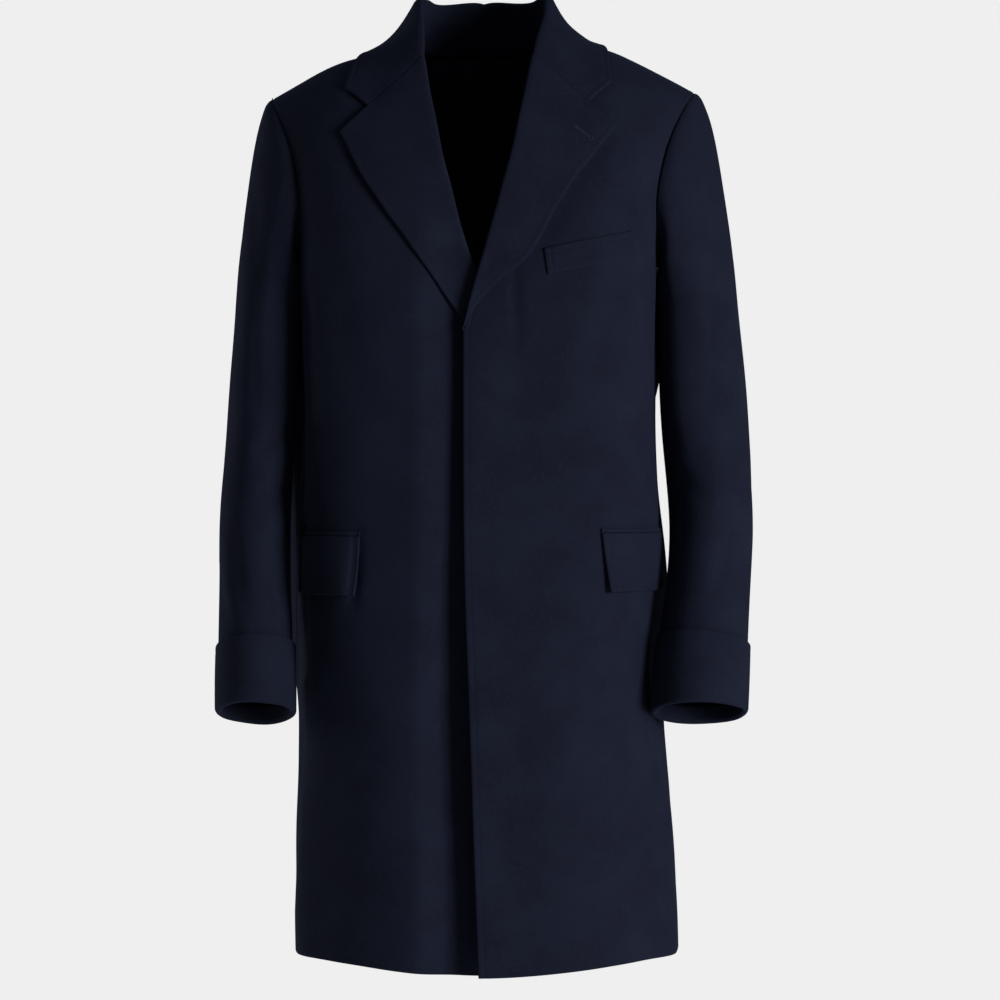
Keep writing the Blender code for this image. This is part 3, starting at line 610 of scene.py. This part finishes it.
def makeBack(side):
    below, above, wide = panelSizes["back"]
    lowWhere = shares(below, "edge", "plain")
    highWhere = shares(above, "plain", "seam")
    nape = 2 - neckSeam[-1][1]
    low = lowClimb(fronts["hem"]) * (1 - lowWhere)
    middle = np.r_[low, (nape * highWhere)[1:]]
    middle = np.stack([np.full(len(middle), side * (180 - seamGap)), middle], 1)
    hole = armhole(torsoForm["holeBack"], side, highWhere)
    outer = np.r_[np.stack([np.full(len(low), side * torsoForm["sideAngle"]), low], 1),
                  hole[1:]]
    outer[:, 0] += side * seamGap
    t = shares(wide, "seam", "seam")
    where = spreadBetween(outer, middle, t)
    tip = abs(torso(outer[-1, 0], outer[-1, 1])[0])
    neckX, neckClimb, _ = np.array(neckSeam[:0:-1]).T
    x = tip * (1 - t)
    top = np.where(x > neckX[-1], ridgeEnd, smoothThrough(neckX, 2 - neckClimb, x))
    top = np.minimum(top, ridgeEnd)
    topAngle = side * (180 - angleAt(x, top))
    topAngle[0], topAngle[-1] = outer[-1, 0], middle[-1, 0]
    change = np.stack([topAngle, top], 1) - spreadBetween(outer[-1:], middle[-1:], t)[0]
    first = len(low) - 1
    for k, share in enumerate(highWhere):
        where[first + k] += change * share ** 1.5
    if side < 0:
        where = where[:, ::-1]
    face = torso(where[..., 0], where[..., 1])
    hole = face[len(low):, 0 if side > 0 else -1]
    hangPanel("back_" + sideName[side], face, where[..., 1], hole,
              {"left": "seam", "right": "seam"}, bodyRelief(where[..., 0], face[..., 2]))


for make in (makeFront, makeBack):
    for side in (1, -1):
        make(side)
print("fronts and back made")


# Silk twist: three strands of spun silk laid together. Smoother than the wool, so each stitch
# shows a small soft gleam.
silk = {"colour": "#20263c", "strand": 0.35 * mm, "depth": 0.05 * mm, "roughness": 0.42}


def silkTwist(name):
    material, tree, shader, where = startMaterial(name, silk["roughness"])
    strands = addNode(tree, "TexWave", {"Scale": 0.05 / silk["strand"],
                      "Distortion": 1.0}, {"Vector": where}, bands_direction="DIAGONAL")
    shade = addNode(tree, "MapRange", {"To Min": 0.75, "To Max": 1.1},
                    {"Value": strands.outputs["Fac"]})
    colour = addNode(tree, "MixRGB", {"Fac": 1.0, "Color1": linear(silk["colour"])},
                     {"Color2": shade.outputs["Result"]}, blend_type="MULTIPLY")
    bump = addNode(tree, "Bump", {"Strength": 0.6, "Distance": silk["depth"]},
                   {"Height": strands.outputs["Fac"]})
    feed(tree, shader, {}, {"Base Color": colour.outputs["Color"],
                            "Normal": bump.outputs["Normal"]})
    return material


# the buttonhole of the left lapel, worked by hand: x and height of its ends, sizes in metres
buttonhole = {
    "foot": (0.0964, -0.1172), "eye": (0.1133, -0.1302), "eyeSize": 1.2 * mm,
    "spacing": 1.0 * mm, "slit": 0.25 * mm, "reach": 1.5 * mm, "eyeReach": 1.2 * mm,
    "proud": 0.55 * mm, "thread": 0.26 * mm,
    "cordOut": 0.4 * mm, "cordThread": 0.34 * mm,  # the purl along both lips of the slit
}


def restOn(face, normals, spots):
    # places and normals on a face, seen from the front at x and height
    flat = face[..., [0, 2]].reshape(-1, 2)
    points, ways = face.reshape(-1, 3), normals.reshape(-1, 3)
    found = []
    for spot in spots:
        away = np.sum((flat - spot) ** 2, axis=1)
        near = np.argsort(away)[:4]
        weight = 1 / (away[near] + 1e-9)
        weight /= weight.sum()
        found.append((np.array([spot[0], weight @ points[near, 1], spot[1]]),
                      unit(weight @ ways[near])))
    return found


def threads(name, paths, radii, material):
    # a round thread along each path of points, six faces round
    turn = np.radians(np.arange(0, 360, 60))[:, None]
    points, faces, first = [], [], 0
    for path, radius in zip(paths, radii):
        tangent = unit(np.gradient(path, axis=0))
        side = unit(np.cross(tangent, (0.3, -1.0, 0.2)))
        up = np.cross(side, tangent)
        ends = np.ones(len(path))
        ends[[0, -1]] = 0.4
        ring = side[:, None] * np.cos(turn) + up[:, None] * np.sin(turn)
        ring = ring * (radius * ends)[:, None, None]
        points.append((path[:, None] + ring).reshape(-1, 3))
        ids = first + np.arange(len(path) * 6).reshape(-1, 6)
        faces += quads(ringed(ids)).tolist() + [ids[0, ::-1].tolist(), ids[-1].tolist()]
        first += ids.size
    return putMesh(name, np.concatenate(points), faces, material)


def makeButtonhole(face):
    b = buttonhole
    foot, eye = np.array(b["foot"]), np.array(b["eye"])
    length = np.linalg.norm(eye - foot)
    count = int(length / b["spacing"])
    spots = [foot + (eye - foot) * k / count for k in range(count + 1)]
    found = restOn(face, gridNormals(face), spots)
    ahead = unit(found[-1][0] - found[0][0])
    across = np.array([0.10, 0.35, 0.70, 1.0])
    high = np.array([0.75, 1.0, 0.8, 0.0])
    paths = []

    def stitch(start, normal, out, first, reach):
        paths.append(start + out * (first + reach * across)[:, None]
                     + normal * (b["proud"] * high)[:, None])

    for spot, normal in found[:-1]:
        sideways = np.cross(normal, ahead)
        stitch(spot, normal, sideways, b["slit"], b["reach"])
        stitch(spot, normal, -sideways, b["slit"], b["reach"])
    cords = [np.array([spot + np.cross(normal, ahead) * way * b["cordOut"]
                       + normal * b["proud"] for spot, normal in found]) for way in (1, -1)]
    spot, normal = found[-1]
    sideways = np.cross(normal, ahead)
    for a in np.radians(range(-120, 121, 24)):
        stitch(spot + ahead * b["eyeSize"], normal, ahead * math.cos(a) + sideways * math.sin(a),
               b["eyeSize"], b["eyeReach"])
    radii = [b["thread"]] * len(paths) + [b["cordThread"]] * 2
    item = threads("lapel_buttonhole", paths + cords, radii, silkTwist("navySilkTwist"))
    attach(item, "root")
    return item


# lapels and collar: one turned edge, from the foot under the roll to the free edge
lapels = {
    "sizes": (0.36, 0.04, 0.11),  # rough lengths of its long and top edge, and its width
    "rollRadius": 3.4 * mm, "rollRadiusLow": 2.4 * mm, "tipShare": 11 / 14,
    "edgeLift": {1: 3.6 * mm, -1: 5.6 * mm},  # how far the free edge stands off the front
    # free edge and inner end of the notch: x and height
    "edge": {1: [(-0.0216, -0.3366), (-0.0110, -0.3165), (0.0218, -0.2793), (0.0388, -0.2665),
                 (0.0580, -0.2410), (0.0979, -0.1725), (0.1267, -0.1362), (0.1408, -0.1174)],
             -1: [(0.0225, -0.3850), (-0.0280, -0.3167), (-0.0683, -0.2580), (-0.1032, -0.2104),
                  (-0.1333, -0.1629), (-0.1528, -0.1238)]},
    "notch": {1: (0.1120, -0.0909), -1: (-0.1240, -0.0963)},
    "hiddenShare": 2 / 14,  # the under lapel starts here, out of sight below the over front
    "waves": [(0.35, 23, 0, 0), (0.21, 51, 0, 1)],  # along the free edge
    "fallFrom": 12,  # the visible columns start here
    # the last row of the roll is drawn this much towards this share of its length
    "lastPull": 0.02, "lastShare": 13 / 14,
    "footOut": (0.004, -0.006),  # the free edge starts this far from the roll, x and climb
}
collarForm = {
    "sizes": (0.045, 0.26, 0.07),  # the same of one half: front edge, long edge, width
    "corner": {1: (0.1375, -0.0678), -1: (-0.1490, -0.0748)},
    "edge": [(0.1290, 1.00), (0.1140, 1.22), (0.0800, 1.38), (0.0400, 1.445), (0.0, 1.46)],
    "lean": 0.30, "dropSide": 4.6, "dropBack": 2.4,
    "radius": 4.8 * mm, "edgeLift": 4.8 * mm, "gap": 1.3 * mm, "gorge": -0.0003,
    "frontShare": 3 / 14,
}


def onFront(where, out, under):
    if under:
        out = out + lapOut(drape(*where.T))
    return drape(*where.T, out)


def turned(roll, edge, stand, radius, gap, edgeLift, fall, under=False):
    # roll and edge are rows of x and climb, stand is the height of the roll above its seam
    base = onFront(roll, gap, under)
    normal = unit(onFront(roll, gap + 0.01, under) - base)
    inward = base - drape(*(roll * 0.9 + edge * 0.1).T)
    inward = unit(inward - normal * np.sum(inward * normal, 1, keepdims=True))
    upward = np.array([0, 0, 1.0])
    high = (stand / max(stand.max(), 1e-6))[:, None]
    up = unit(normal * (1 - high) + upward * high)
    toNeck = unit(np.stack([-roll[:, 0], -0.6 * base[:, 1], 0 * stand], 1))
    side = inward * (1 - high) + toNeck * high
    side = unit(side - up * np.sum(side * up, 1, keepdims=True))
    raised = (upward + toNeck * collarForm["lean"]) * stand[:, None]
    sides, back = collarForm["dropSide"], collarForm["dropBack"]
    drop = sides + (back - sides) * blend(0.72, 0.96, high)
    radius = np.broadcast_to(radius, stand.shape)[:, None]
    centre = base + normal * radius + raised

    def arc(turn):
        a = math.radians(turn)
        return centre + (side * math.cos(a) + up * math.sin(a)) * radius

    columns = [base]
    start = arc(-35)
    if stand.max() > 0:
        middle = (base + centre + side * radius) / 2
        columns += [base * (1 - t) + middle * t for t in (0.25, 0.5, 0.75)]
        columns += [middle * (1 - t) + start * t for t in (0, 0.2, 0.4, 0.6, 0.8)]
    else:
        columns += [base * (1 - t) + start * t for t in (0.33, 0.67)]
    columns += [arc(turn) for turn in np.linspace(-35, 70, 8)]
    ground = np.reshape(gap, (-1, 1))[:, 0] + 2 * radius[:, 0]
    falls = 0.04 + 0.96 * shares(fall, "plain", "edge")
    for t in falls:
        lift = ground * (1 - t) + edgeLift * t
        columns.append(onFront(roll * (1 - t) + edge * t, lift, under)
                       + raised * (1 - t) ** drop)
    thin = radius - 0.6 * mm
    count = len(columns) - len(falls)
    t = np.r_[np.zeros(count), falls][None, :]
    thick = np.minimum(thin, cloth["doubled"]) * (1 - t) + (cloth["doubled"] - 0.1 * mm) * t
    return np.stack(columns, 1), thick


def turnedShell(name, face, thick, flip, seamRows):
    # free edge in the last column, sewn rows where the lapel and the collar meet
    free, _ = fromLine(face, face[:, -1])
    falls = np.linspace(0, 1, face.shape[1])[None, :]
    away = runs(face)
    run = away["low"]
    relief = -rounded(free, cloth["doubled"] * 0.5)
    relief -= stitchRow("turned", run, free) + groove("turned", free)
    soft = 0.5 * mm * np.sin(run * 41 + falls * 5) * np.sin(falls * 3.1)
    soft += 0.35 * mm * np.sin(run * 83 - falls * 9 + 1.7)
    relief += soft * blend(4 * mm, 25 * mm, free)
    for row in seamRows:
        relief -= groove("gorge", away[row])
    if flip:
        face, relief, thick = face[:, ::-1], relief[:, ::-1], thick[:, ::-1]
    return shell(name, face, thick, {}, relief), face


def makeLapel(side):
    under = side < 0
    name = "lapel_" + sideName[side]
    roll, edge = seen(fronts["roll"][side]), lapels["edge"][side]
    tip = lapels["tipShare"]
    first = lapels["hiddenShare"] if under else 0.0
    tall, short, wide = lapels["sizes"]
    low = shares(tall, "plain", "edge")
    high = shares(short, "edge", "seam")
    where = np.r_[first + (tip - first) * low, tip + (1 - tip) * high[1:]]
    rollRows = along(roll, where)
    longEdge = along(seen(edge), first / tip + (1 - first / tip) * low)
    topEdge = along(seen([edge[-1], lapels["notch"][side]]), high)[1:]
    edgeRows = np.r_[longEdge, topEdge]
    before = along(roll, [lapels["lastShare"]])[0]
    rollRows[-1] += (before - rollRows[-1]) * lapels["lastPull"]
    if not under:
        edgeRows[0] = rollRows[0] + np.multiply(lapels["footOut"], (side, 1))
    edgeRows[:, 0] += side * waves(lapels["waves"], where) * np.sin(where * math.pi)
    radius = lapels["rollRadiusLow"] + (lapels["rollRadius"] - lapels["rollRadiusLow"]) * where
    foot = 0.36 + 0.64 * blend(-0.02, 0.13, where)  # the roll dies away into the front edge
    face, thick = turned(rollRows, edgeRows, np.zeros(len(where)), radius * foot, cloth["seam"],
                         lapels["edgeLift"][side] * foot, wide, under)
    item, face = turnedShell(name, face, thick, under, ["top"])
    extras = [] if under else [makeButtonhole(face[:, lapels["fallFrom"]:])]
    declare(item, face, name)


def makeCollar():
    form = collarForm
    share = form["frontShare"]
    front, long, wide = form["sizes"]
    high = shares(front, "seam", "edge")
    low = shares(long, "edge", "plain")
    where = np.r_[share * high, share + (1 - share) * low[1:]]
    halves = []
    for side in (1, -1):
        gorge = np.r_[seen(fronts["roll"][side][-1:])[0] * (side, 1), 0.0]
        seam = along(np.r_[[gorge], neckSeam], where) * (side, 1, 1)
        frontEdge = along(seen([lapels["notch"][side], form["corner"][side]]), high)
        behind = np.asarray(form["edge"]) * (side, 1)
        edge = np.r_[frontEdge[:-1], along(np.r_[frontEdge[-1:], behind], low)]
        halves.append((seam, edge))
    (leftSeam, leftEdge), (rightSeam, rightEdge) = halves
    seam = np.r_[rightSeam, leftSeam[-2::-1]]
    edge = np.r_[rightEdge, leftEdge[-2::-1]]
    for rows in (seam, edge):
        rows[[0, -1], 1] += form["gorge"]
    fromGorge = np.r_[where, where[-2::-1]]
    settle = blend(0.02, 0.45, fromGorge)
    radius = lapels["rollRadius"] + (form["radius"] - lapels["rollRadius"]) * (
        seam[:, 2] / seam[:, 2].max())
    gap = cloth["seam"] + (form["gap"] - cloth["seam"]) * settle
    start = np.where(seam[:, 0] > 0, lapels["edgeLift"][1], lapels["edgeLift"][-1])
    lift = start + (form["edgeLift"] - start) * settle
    face, thick = turned(seam[:, :2], edge, seam[:, 2], radius, gap, lift, wide)
    item, face = turnedShell("collar", face, thick, True, ["low", "top"])
    declare(item, face, "collar")


makeLapel(1)
makeLapel(-1)
makeCollar()
print("lapels and collar made")


# sleeves: set in with a little fullness at the head, two pieces each
sleeveForm = {
    # height, middle and half width for the wearer's left and right arm, y, half depth, lean
    "sections": np.array([
        (-0.742, 0.2317, 0.0493, 0.2445, 0.0400, -0.085, 0.054, 16),
        (-0.660, 0.2380, 0.0475, 0.2470, 0.0395, -0.062, 0.056, 15),
        (-0.546, 0.2474, 0.0452, 0.2491, 0.0383, -0.030, 0.060, 11),
        (-0.440, 0.2426, 0.0472, 0.2440, 0.0375, -0.008, 0.064, 5),
        (-0.300, 0.2342, 0.0436, 0.2368, 0.0347, 0.000, 0.069, 0)]),
    # how fast the head leaves the armhole: outward at the top and beside it, less at the
    # underarm, forward, down at the top and at the underarm; then how it reaches the arm
    "headOut": {1: 0.080, -1: 0.068}, "headOutLow": 0.045, "headLess": 0.020,
    "headAhead": 0.055, "headFall": (0.004, 0.05), "armOut": 0.02, "headDown": 0.220,
    "turnedIn": 2.0 * mm,       # the head starts inside the armhole
    # the two pieces: degrees round from the outside where each begins and ends, rough width
    "pieces": [("sleeve_top_", -108, 126, 0.23), ("sleeve_under_", 126, 252, 0.12)],
    "seamGap": -0.35,           # they lap a little in the pressed seam
    "roping": 0.8 * mm,         # fullness just past the armhole seam at the shoulder
    "creaseArm": 0.055 * math.pi / 180,
}


def arm(side, degrees, heights, out=0.0):
    # heights below 1 lie in the head; above 1 they count metres down from the first section
    table = sleeveForm["sections"]
    knots = table[:, 0]
    middle, half = (1, 2) if side > 0 else (3, 4)
    t = np.radians(degrees)

    def ring(z):
        x, wide, y, depth, lean = [smoothThrough(knots, table[:, k], z)
                                   for k in (middle, half, 5, 6, 7)]
        ahead = (depth + out) * np.sin(t)
        return np.stack([side * (x + (wide + out) * np.cos(t)), y - ahead,
                         z + ahead * np.tan(np.radians(lean))], -1)

    turn = np.mod(degrees, 360)
    ahead = turn <= 180
    share = np.where(ahead, 1 - turn / 180, turn / 180 - 1)
    fine = np.linspace(0, 1, 61)
    holes = [[np.interp(share, fine, row) for row in armhole(torsoForm[key], side, fine).T]
             for key in ("holeFront", "holeBack")]
    start = torso(*np.where(ahead, *holes))
    topZ = knots[-1]
    first = ring(np.full(turn.shape, topZ))
    top = np.clip(np.cos(t), 0, 1) ** 1.5
    low = np.clip(-np.cos(t), 0, 1)
    f = sleeveForm
    near, (fallTop, fallLow) = f["headOutLow"], f["headFall"]
    leave = np.stack([side * (near + (f["headOut"][side] - near) * top - f["headLess"] * low),
                      -f["headAhead"] * np.sin(t) * (1 - 0.5 * low),
                      -fallTop * top - fallLow * low], 1)
    reach = start - unit(leave) * f["turnedIn"]
    arrive = np.zeros_like(leave)
    arrive[:, 0] = side * f["armOut"]
    drop = first[:, 2] - start[:, 2]
    arrive[:, 2] = -f["headDown"] * drop / drop.min()
    rings = []
    for h in heights:
        if h < 1:
            rings.append(reach * (1 + 2 * h) * (1 - h) ** 2 + first * h * h * (3 - 2 * h)
                         + leave * h * (1 - h) ** 2 - arrive * h * h * (1 - h))
        else:
            rings.append(ring(np.full(turn.shape, topZ - (h - 1))))
    return np.stack(rings)


def sleeveRelief(side, degrees, face, fromSeam):
    wrapped = degrees + np.zeros(face.shape[:2])
    z = face[..., 2]
    relief = creaseRelief(sleeveCreases[side], wrapped, z, sleeveForm["creaseArm"])
    a = np.radians(wrapped)
    relief += waves([(0.5, 3, 21, side), (0.3, -2, 44, 0)], a, z)
    relief *= blend(0.004, 0.05, fromSeam)
    top = np.clip(np.cos(a), 0, 1) ** 1.2
    relief += sleeveForm["roping"] * top * hump(fromSeam - 8 * mm, 9 * mm)
    pucker = waves([(0.25, 2.6, 0, 0), (0.15, 4.3, 0, 1)], wrapped)
    relief += pucker * top * hump(fromSeam - 14 * mm, 16 * mm)
    return relief


def makeSleeve(side):
    table = sleeveForm["sections"]
    drop = table[-1, 0] - table[0, 0]
    head = shares(0.27, "seam", "plain")
    low = shares(drop, "plain", "edge")
    heights = np.r_[head[:-1], 1 + drop * low]
    gap = sleeveForm["seamGap"]
    for name, first, last, wide in sleeveForm["pieces"]:
        degrees = first + gap + (last - first - 2 * gap) * shares(wide, "seam", "seam")
        face = arm(side, degrees, heights)[::-1, ::-side]
        degrees = degrees[::-side]
        relief = sleeveRelief(side, degrees, face, runs(face)["top"])
        sides = {"left": "pressed", "right": "pressed", "low": "edge", "top": "seam"}
        sew(name + sideName[side], face, cloth["wall"], sides, relief)


cuffForm = {
    "top": -0.664, "low": -0.741,
    "dip": {1: (5.5 * mm, 5.5 * mm), -1: (9.5 * mm, 2.5 * mm)},  # upper edge, more at the outside
    "outer": 3.8 * mm, "inner": -4.1 * mm,  # faces of the turned back cloth from the sleeve
    "thick": 2.9 * mm, "foldThick": 1.5 * mm, "inside": 16 * mm,
}


def makeCuff(side):
    form = cuffForm
    drop = form["top"] - form["low"]
    degrees = np.linspace(0, 360, 96, endpoint=False)
    down = shares(0.08, "edge", "plain")
    # rows of space from the sleeve, height and thickness: down the outside, round and up inside
    face = [(form["outer"], form["top"] - drop * t, form["thick"]) for t in down]
    radius = (form["outer"] - form["inner"]) / 2
    middle = (form["outer"] + form["inner"]) / 2
    for turn in np.linspace(0, math.pi, 9)[1:]:
        share = min(1.0, turn / 1.2)
        face.append((middle + radius * math.cos(turn), form["low"] - radius * math.sin(turn),
                     form["thick"] * (1 - share) + form["foldThick"] * share))
    face += [(form["inner"], form["low"] + up, form["foldThick"])
             for up in form["inside"] * np.linspace(0.25, 1, 4)]
    topZ = sleeveForm["sections"][-1, 0]
    grid = np.stack([arm(side, degrees, [1 + topZ - z], out)[0] for out, z, _ in face])
    sunk, swing = form["dip"][side]
    for k, turn in enumerate(np.radians(degrees)):
        start = (sunk + swing * math.cos(turn)) / drop
        outside = grid[:len(down), k]
        grid[:len(down), k] = np.stack([np.interp(start + (1 - start) * down, down, outside[:, n])
                                        for n in range(3)], 1)
    thick = np.array([row[2] for row in face])[:, None] * np.ones(grid.shape[:2])
    grid, thick = grid[::-1, ::-side], thick[::-1]
    a = np.radians(degrees[::-side])[None, :]
    away = runs(grid)
    z = grid[..., 2]
    relief = waves([(0.45, 3, 30, side), (0.225, 5, 0, -2), (0.3, 2, 60, 0)], a, z)
    relief -= stitchRow("turned", away["left"], away["top"])
    sew("cuff_" + sideName[side], grid, thick, {"top": "edge"}, relief, closed=True)


for side in (1, -1):
    makeSleeve(side)
    makeCuff(side)
print("sleeves and cuffs made")


# pockets: flaps hang over their openings, a jet shows above each, the welt lies flat
pockets = {
    # x of the end nearest the middle, low and top edge, length and rise along the front, slant of
    # the near end, then thickness, space behind and how far the free corner curls, in mm
    "flap_left": (0.1250, -0.6135, -0.5510, 0.150, 0.0, 0.007, 3.0, 0.5, 4.2),
    "flap_right": (-0.1320, -0.6170, -0.5545, 0.150, 0.0, 0.004, 3.0, 0.5, 3.4),
    "jet_left": (0.1250, -0.55065, -0.5460, 0.150, 0.0, 0.0, 2.0, 0.2, 0.0),
    "jet_right": (-0.1320, -0.55415, -0.5495, 0.150, 0.0, 0.0, 2.0, 0.2, 0.0),
    "breast_welt": (0.0640, -0.2770, -0.2490, 0.098, 0.0200, 0.004, 1.7, 0.0, 0.0),
}


def girthAngles(x, z, lengths):
    # angles that step round the torso from x by lengths, away from the middle
    side = np.sign(x)
    climb = lowClimb(z)
    fine = np.linspace(abs(angleAt(x, climb)), 110, 300)
    points = torso(side * fine, climb)
    return side * np.interp(lengths, np.r_[0, np.cumsum(steps(points))], fine)


def makePocket(name, x, low, top, length, rise, slant, thick, lift, curl):
    # the piece takes the face and the creases of the front below it
    flap, jet = name.startswith("flap"), name.startswith("jet")
    t = shares(length, "edge", "edge")
    up = np.linspace(0, 1, 9) if jet else shares(top - low, "edge", "edge")
    heights = low + (top - low) * up
    way = int(np.sign(x))
    angles = np.stack([girthAngles(x + way * shift, z, (length - shift) * t)
                       for z, shift in zip(heights, slant * (1 - up))])
    z = heights[:, None] + rise * t[None, :]
    flat = torso(angles, lowClimb(z))
    out = cloth["seam"] + (lift + thick) * mm + bodyRelief(angles, z)
    fallen = 1 - up[:, None]
    out = out + curl * mm * (1 - t[None, :]) ** 6 * fallen ** 2
    if flap:
        out = out + 0.5 * mm * fallen ** 2 + 0.5 * mm * np.sin(t[None, :] * 9 + 1) * fallen
    face = torso(angles, climbAt(flat[..., 0], z), out)[:, ::way]
    if jet:
        sides = {"low": "edge", "top": "edge"}
    else:
        sides = {"left": "stitched", "right": "stitched", "low": "stitched" if flap else "seam",
                 "top": "edge" if flap else "stitched"}
    sew(name, face, thick * mm, sides)


for name, form in pockets.items():
    makePocket(name, *form)
print("pockets made")


# stage, light and camera
floor = {"z": -1.50, "radius": 2.2, "colour": "#ececec"}
studio = {
    "paper": "#efefef", "ambient": 0.05,
    # place, size, watts, colour; all aim at the middle of the coat
    "lights": [((1.90, -1.74, -0.35), 0.9, 54, "#fffdfa"),
               ((-2.75, 1.05, -0.4), 1.2, 35, "#fff8f0"),
               ((-0.9, -0.2, 2.6), 1.4, 15, "#ffffff"),
               ((0.0, 3.1, 0.3), 0.7, 78, "#fffdfa")],
    "target": (0.0, 0.0, -0.50),
}
cameraForm = {"place": (0.0176, -3.5, -0.516), "sensor": 36.0, "frame": 1.10}


def plainMaterial(name, hexColour, roughness):
    material, tree, shader, where = startMaterial(name, roughness)
    grain = addNode(tree, "TexNoise", {"Scale": 40.0, "Detail": 2.0},
                    {"Vector": where})
    bump = addNode(tree, "Bump", {"Strength": 0.05, "Distance": 0.5 * mm},
                   {"Height": grain.outputs["Fac"]})
    feed(tree, shader, {"Base Color": linear(hexColour)}, {"Normal": bump.outputs["Normal"]})
    return material


def makeFloor():
    count = 96
    turn = np.linspace(0, 2 * math.pi, count, endpoint=False)
    points = np.stack([floor["radius"] * np.cos(turn), floor["radius"] * np.sin(turn),
                       np.full(count, floor["z"])], 1)
    paper = plainMaterial("mattPaper", floor["colour"], 0.9)
    putMesh("studioFloor", points, [tuple(range(count))], paper)


def makeStudio():
    scene = bpy.context.scene
    for k, (spot, size, watts, colour) in enumerate(studio["lights"]):
        lamp = bpy.data.lights.new("softbox%d" % k, "AREA")
        lamp.shape = "SQUARE"
        lamp.size = size
        lamp.energy = watts
        lamp.color = linear(colour)[:3]
        item = putIn(lamp.name, lamp)
        item.location = spot
        way = Vector(studio["target"]) - item.location
        item.rotation_euler = way.to_track_quat("-Z", "Y").to_euler()
    world = bpy.data.worlds.new("paleStudio")
    world.use_nodes = True
    tree = world.node_tree
    tree.nodes.clear()
    ray = addNode(tree, "LightPath")
    dim = addNode(tree, "Background", {"Color": (1, 1, 1, 1),
                  "Strength": studio["ambient"]})
    paper = addNode(tree, "Background", {"Color": linear(studio["paper"])})
    mix = addNode(tree, "MixShader", {}, {0: ray.outputs["Is Camera Ray"],
                  1: dim.outputs[0], 2: paper.outputs[0]})
    addNode(tree, "OutputWorld", {}, {"Surface": mix.outputs[0]})
    scene.world = world
    scene.view_settings.view_transform = "Standard"
    view = bpy.data.cameras.new("frontCamera")
    view.sensor_width = cameraForm["sensor"]
    view.lens = cameraForm["sensor"] * -cameraForm["place"][1] / cameraForm["frame"]
    scene.camera = putIn("frontCamera", view)
    scene.camera.location = cameraForm["place"]
    scene.camera.rotation_euler = (math.pi / 2, 0, 0)


makeFloor()
makeStudio()
print("studio made")
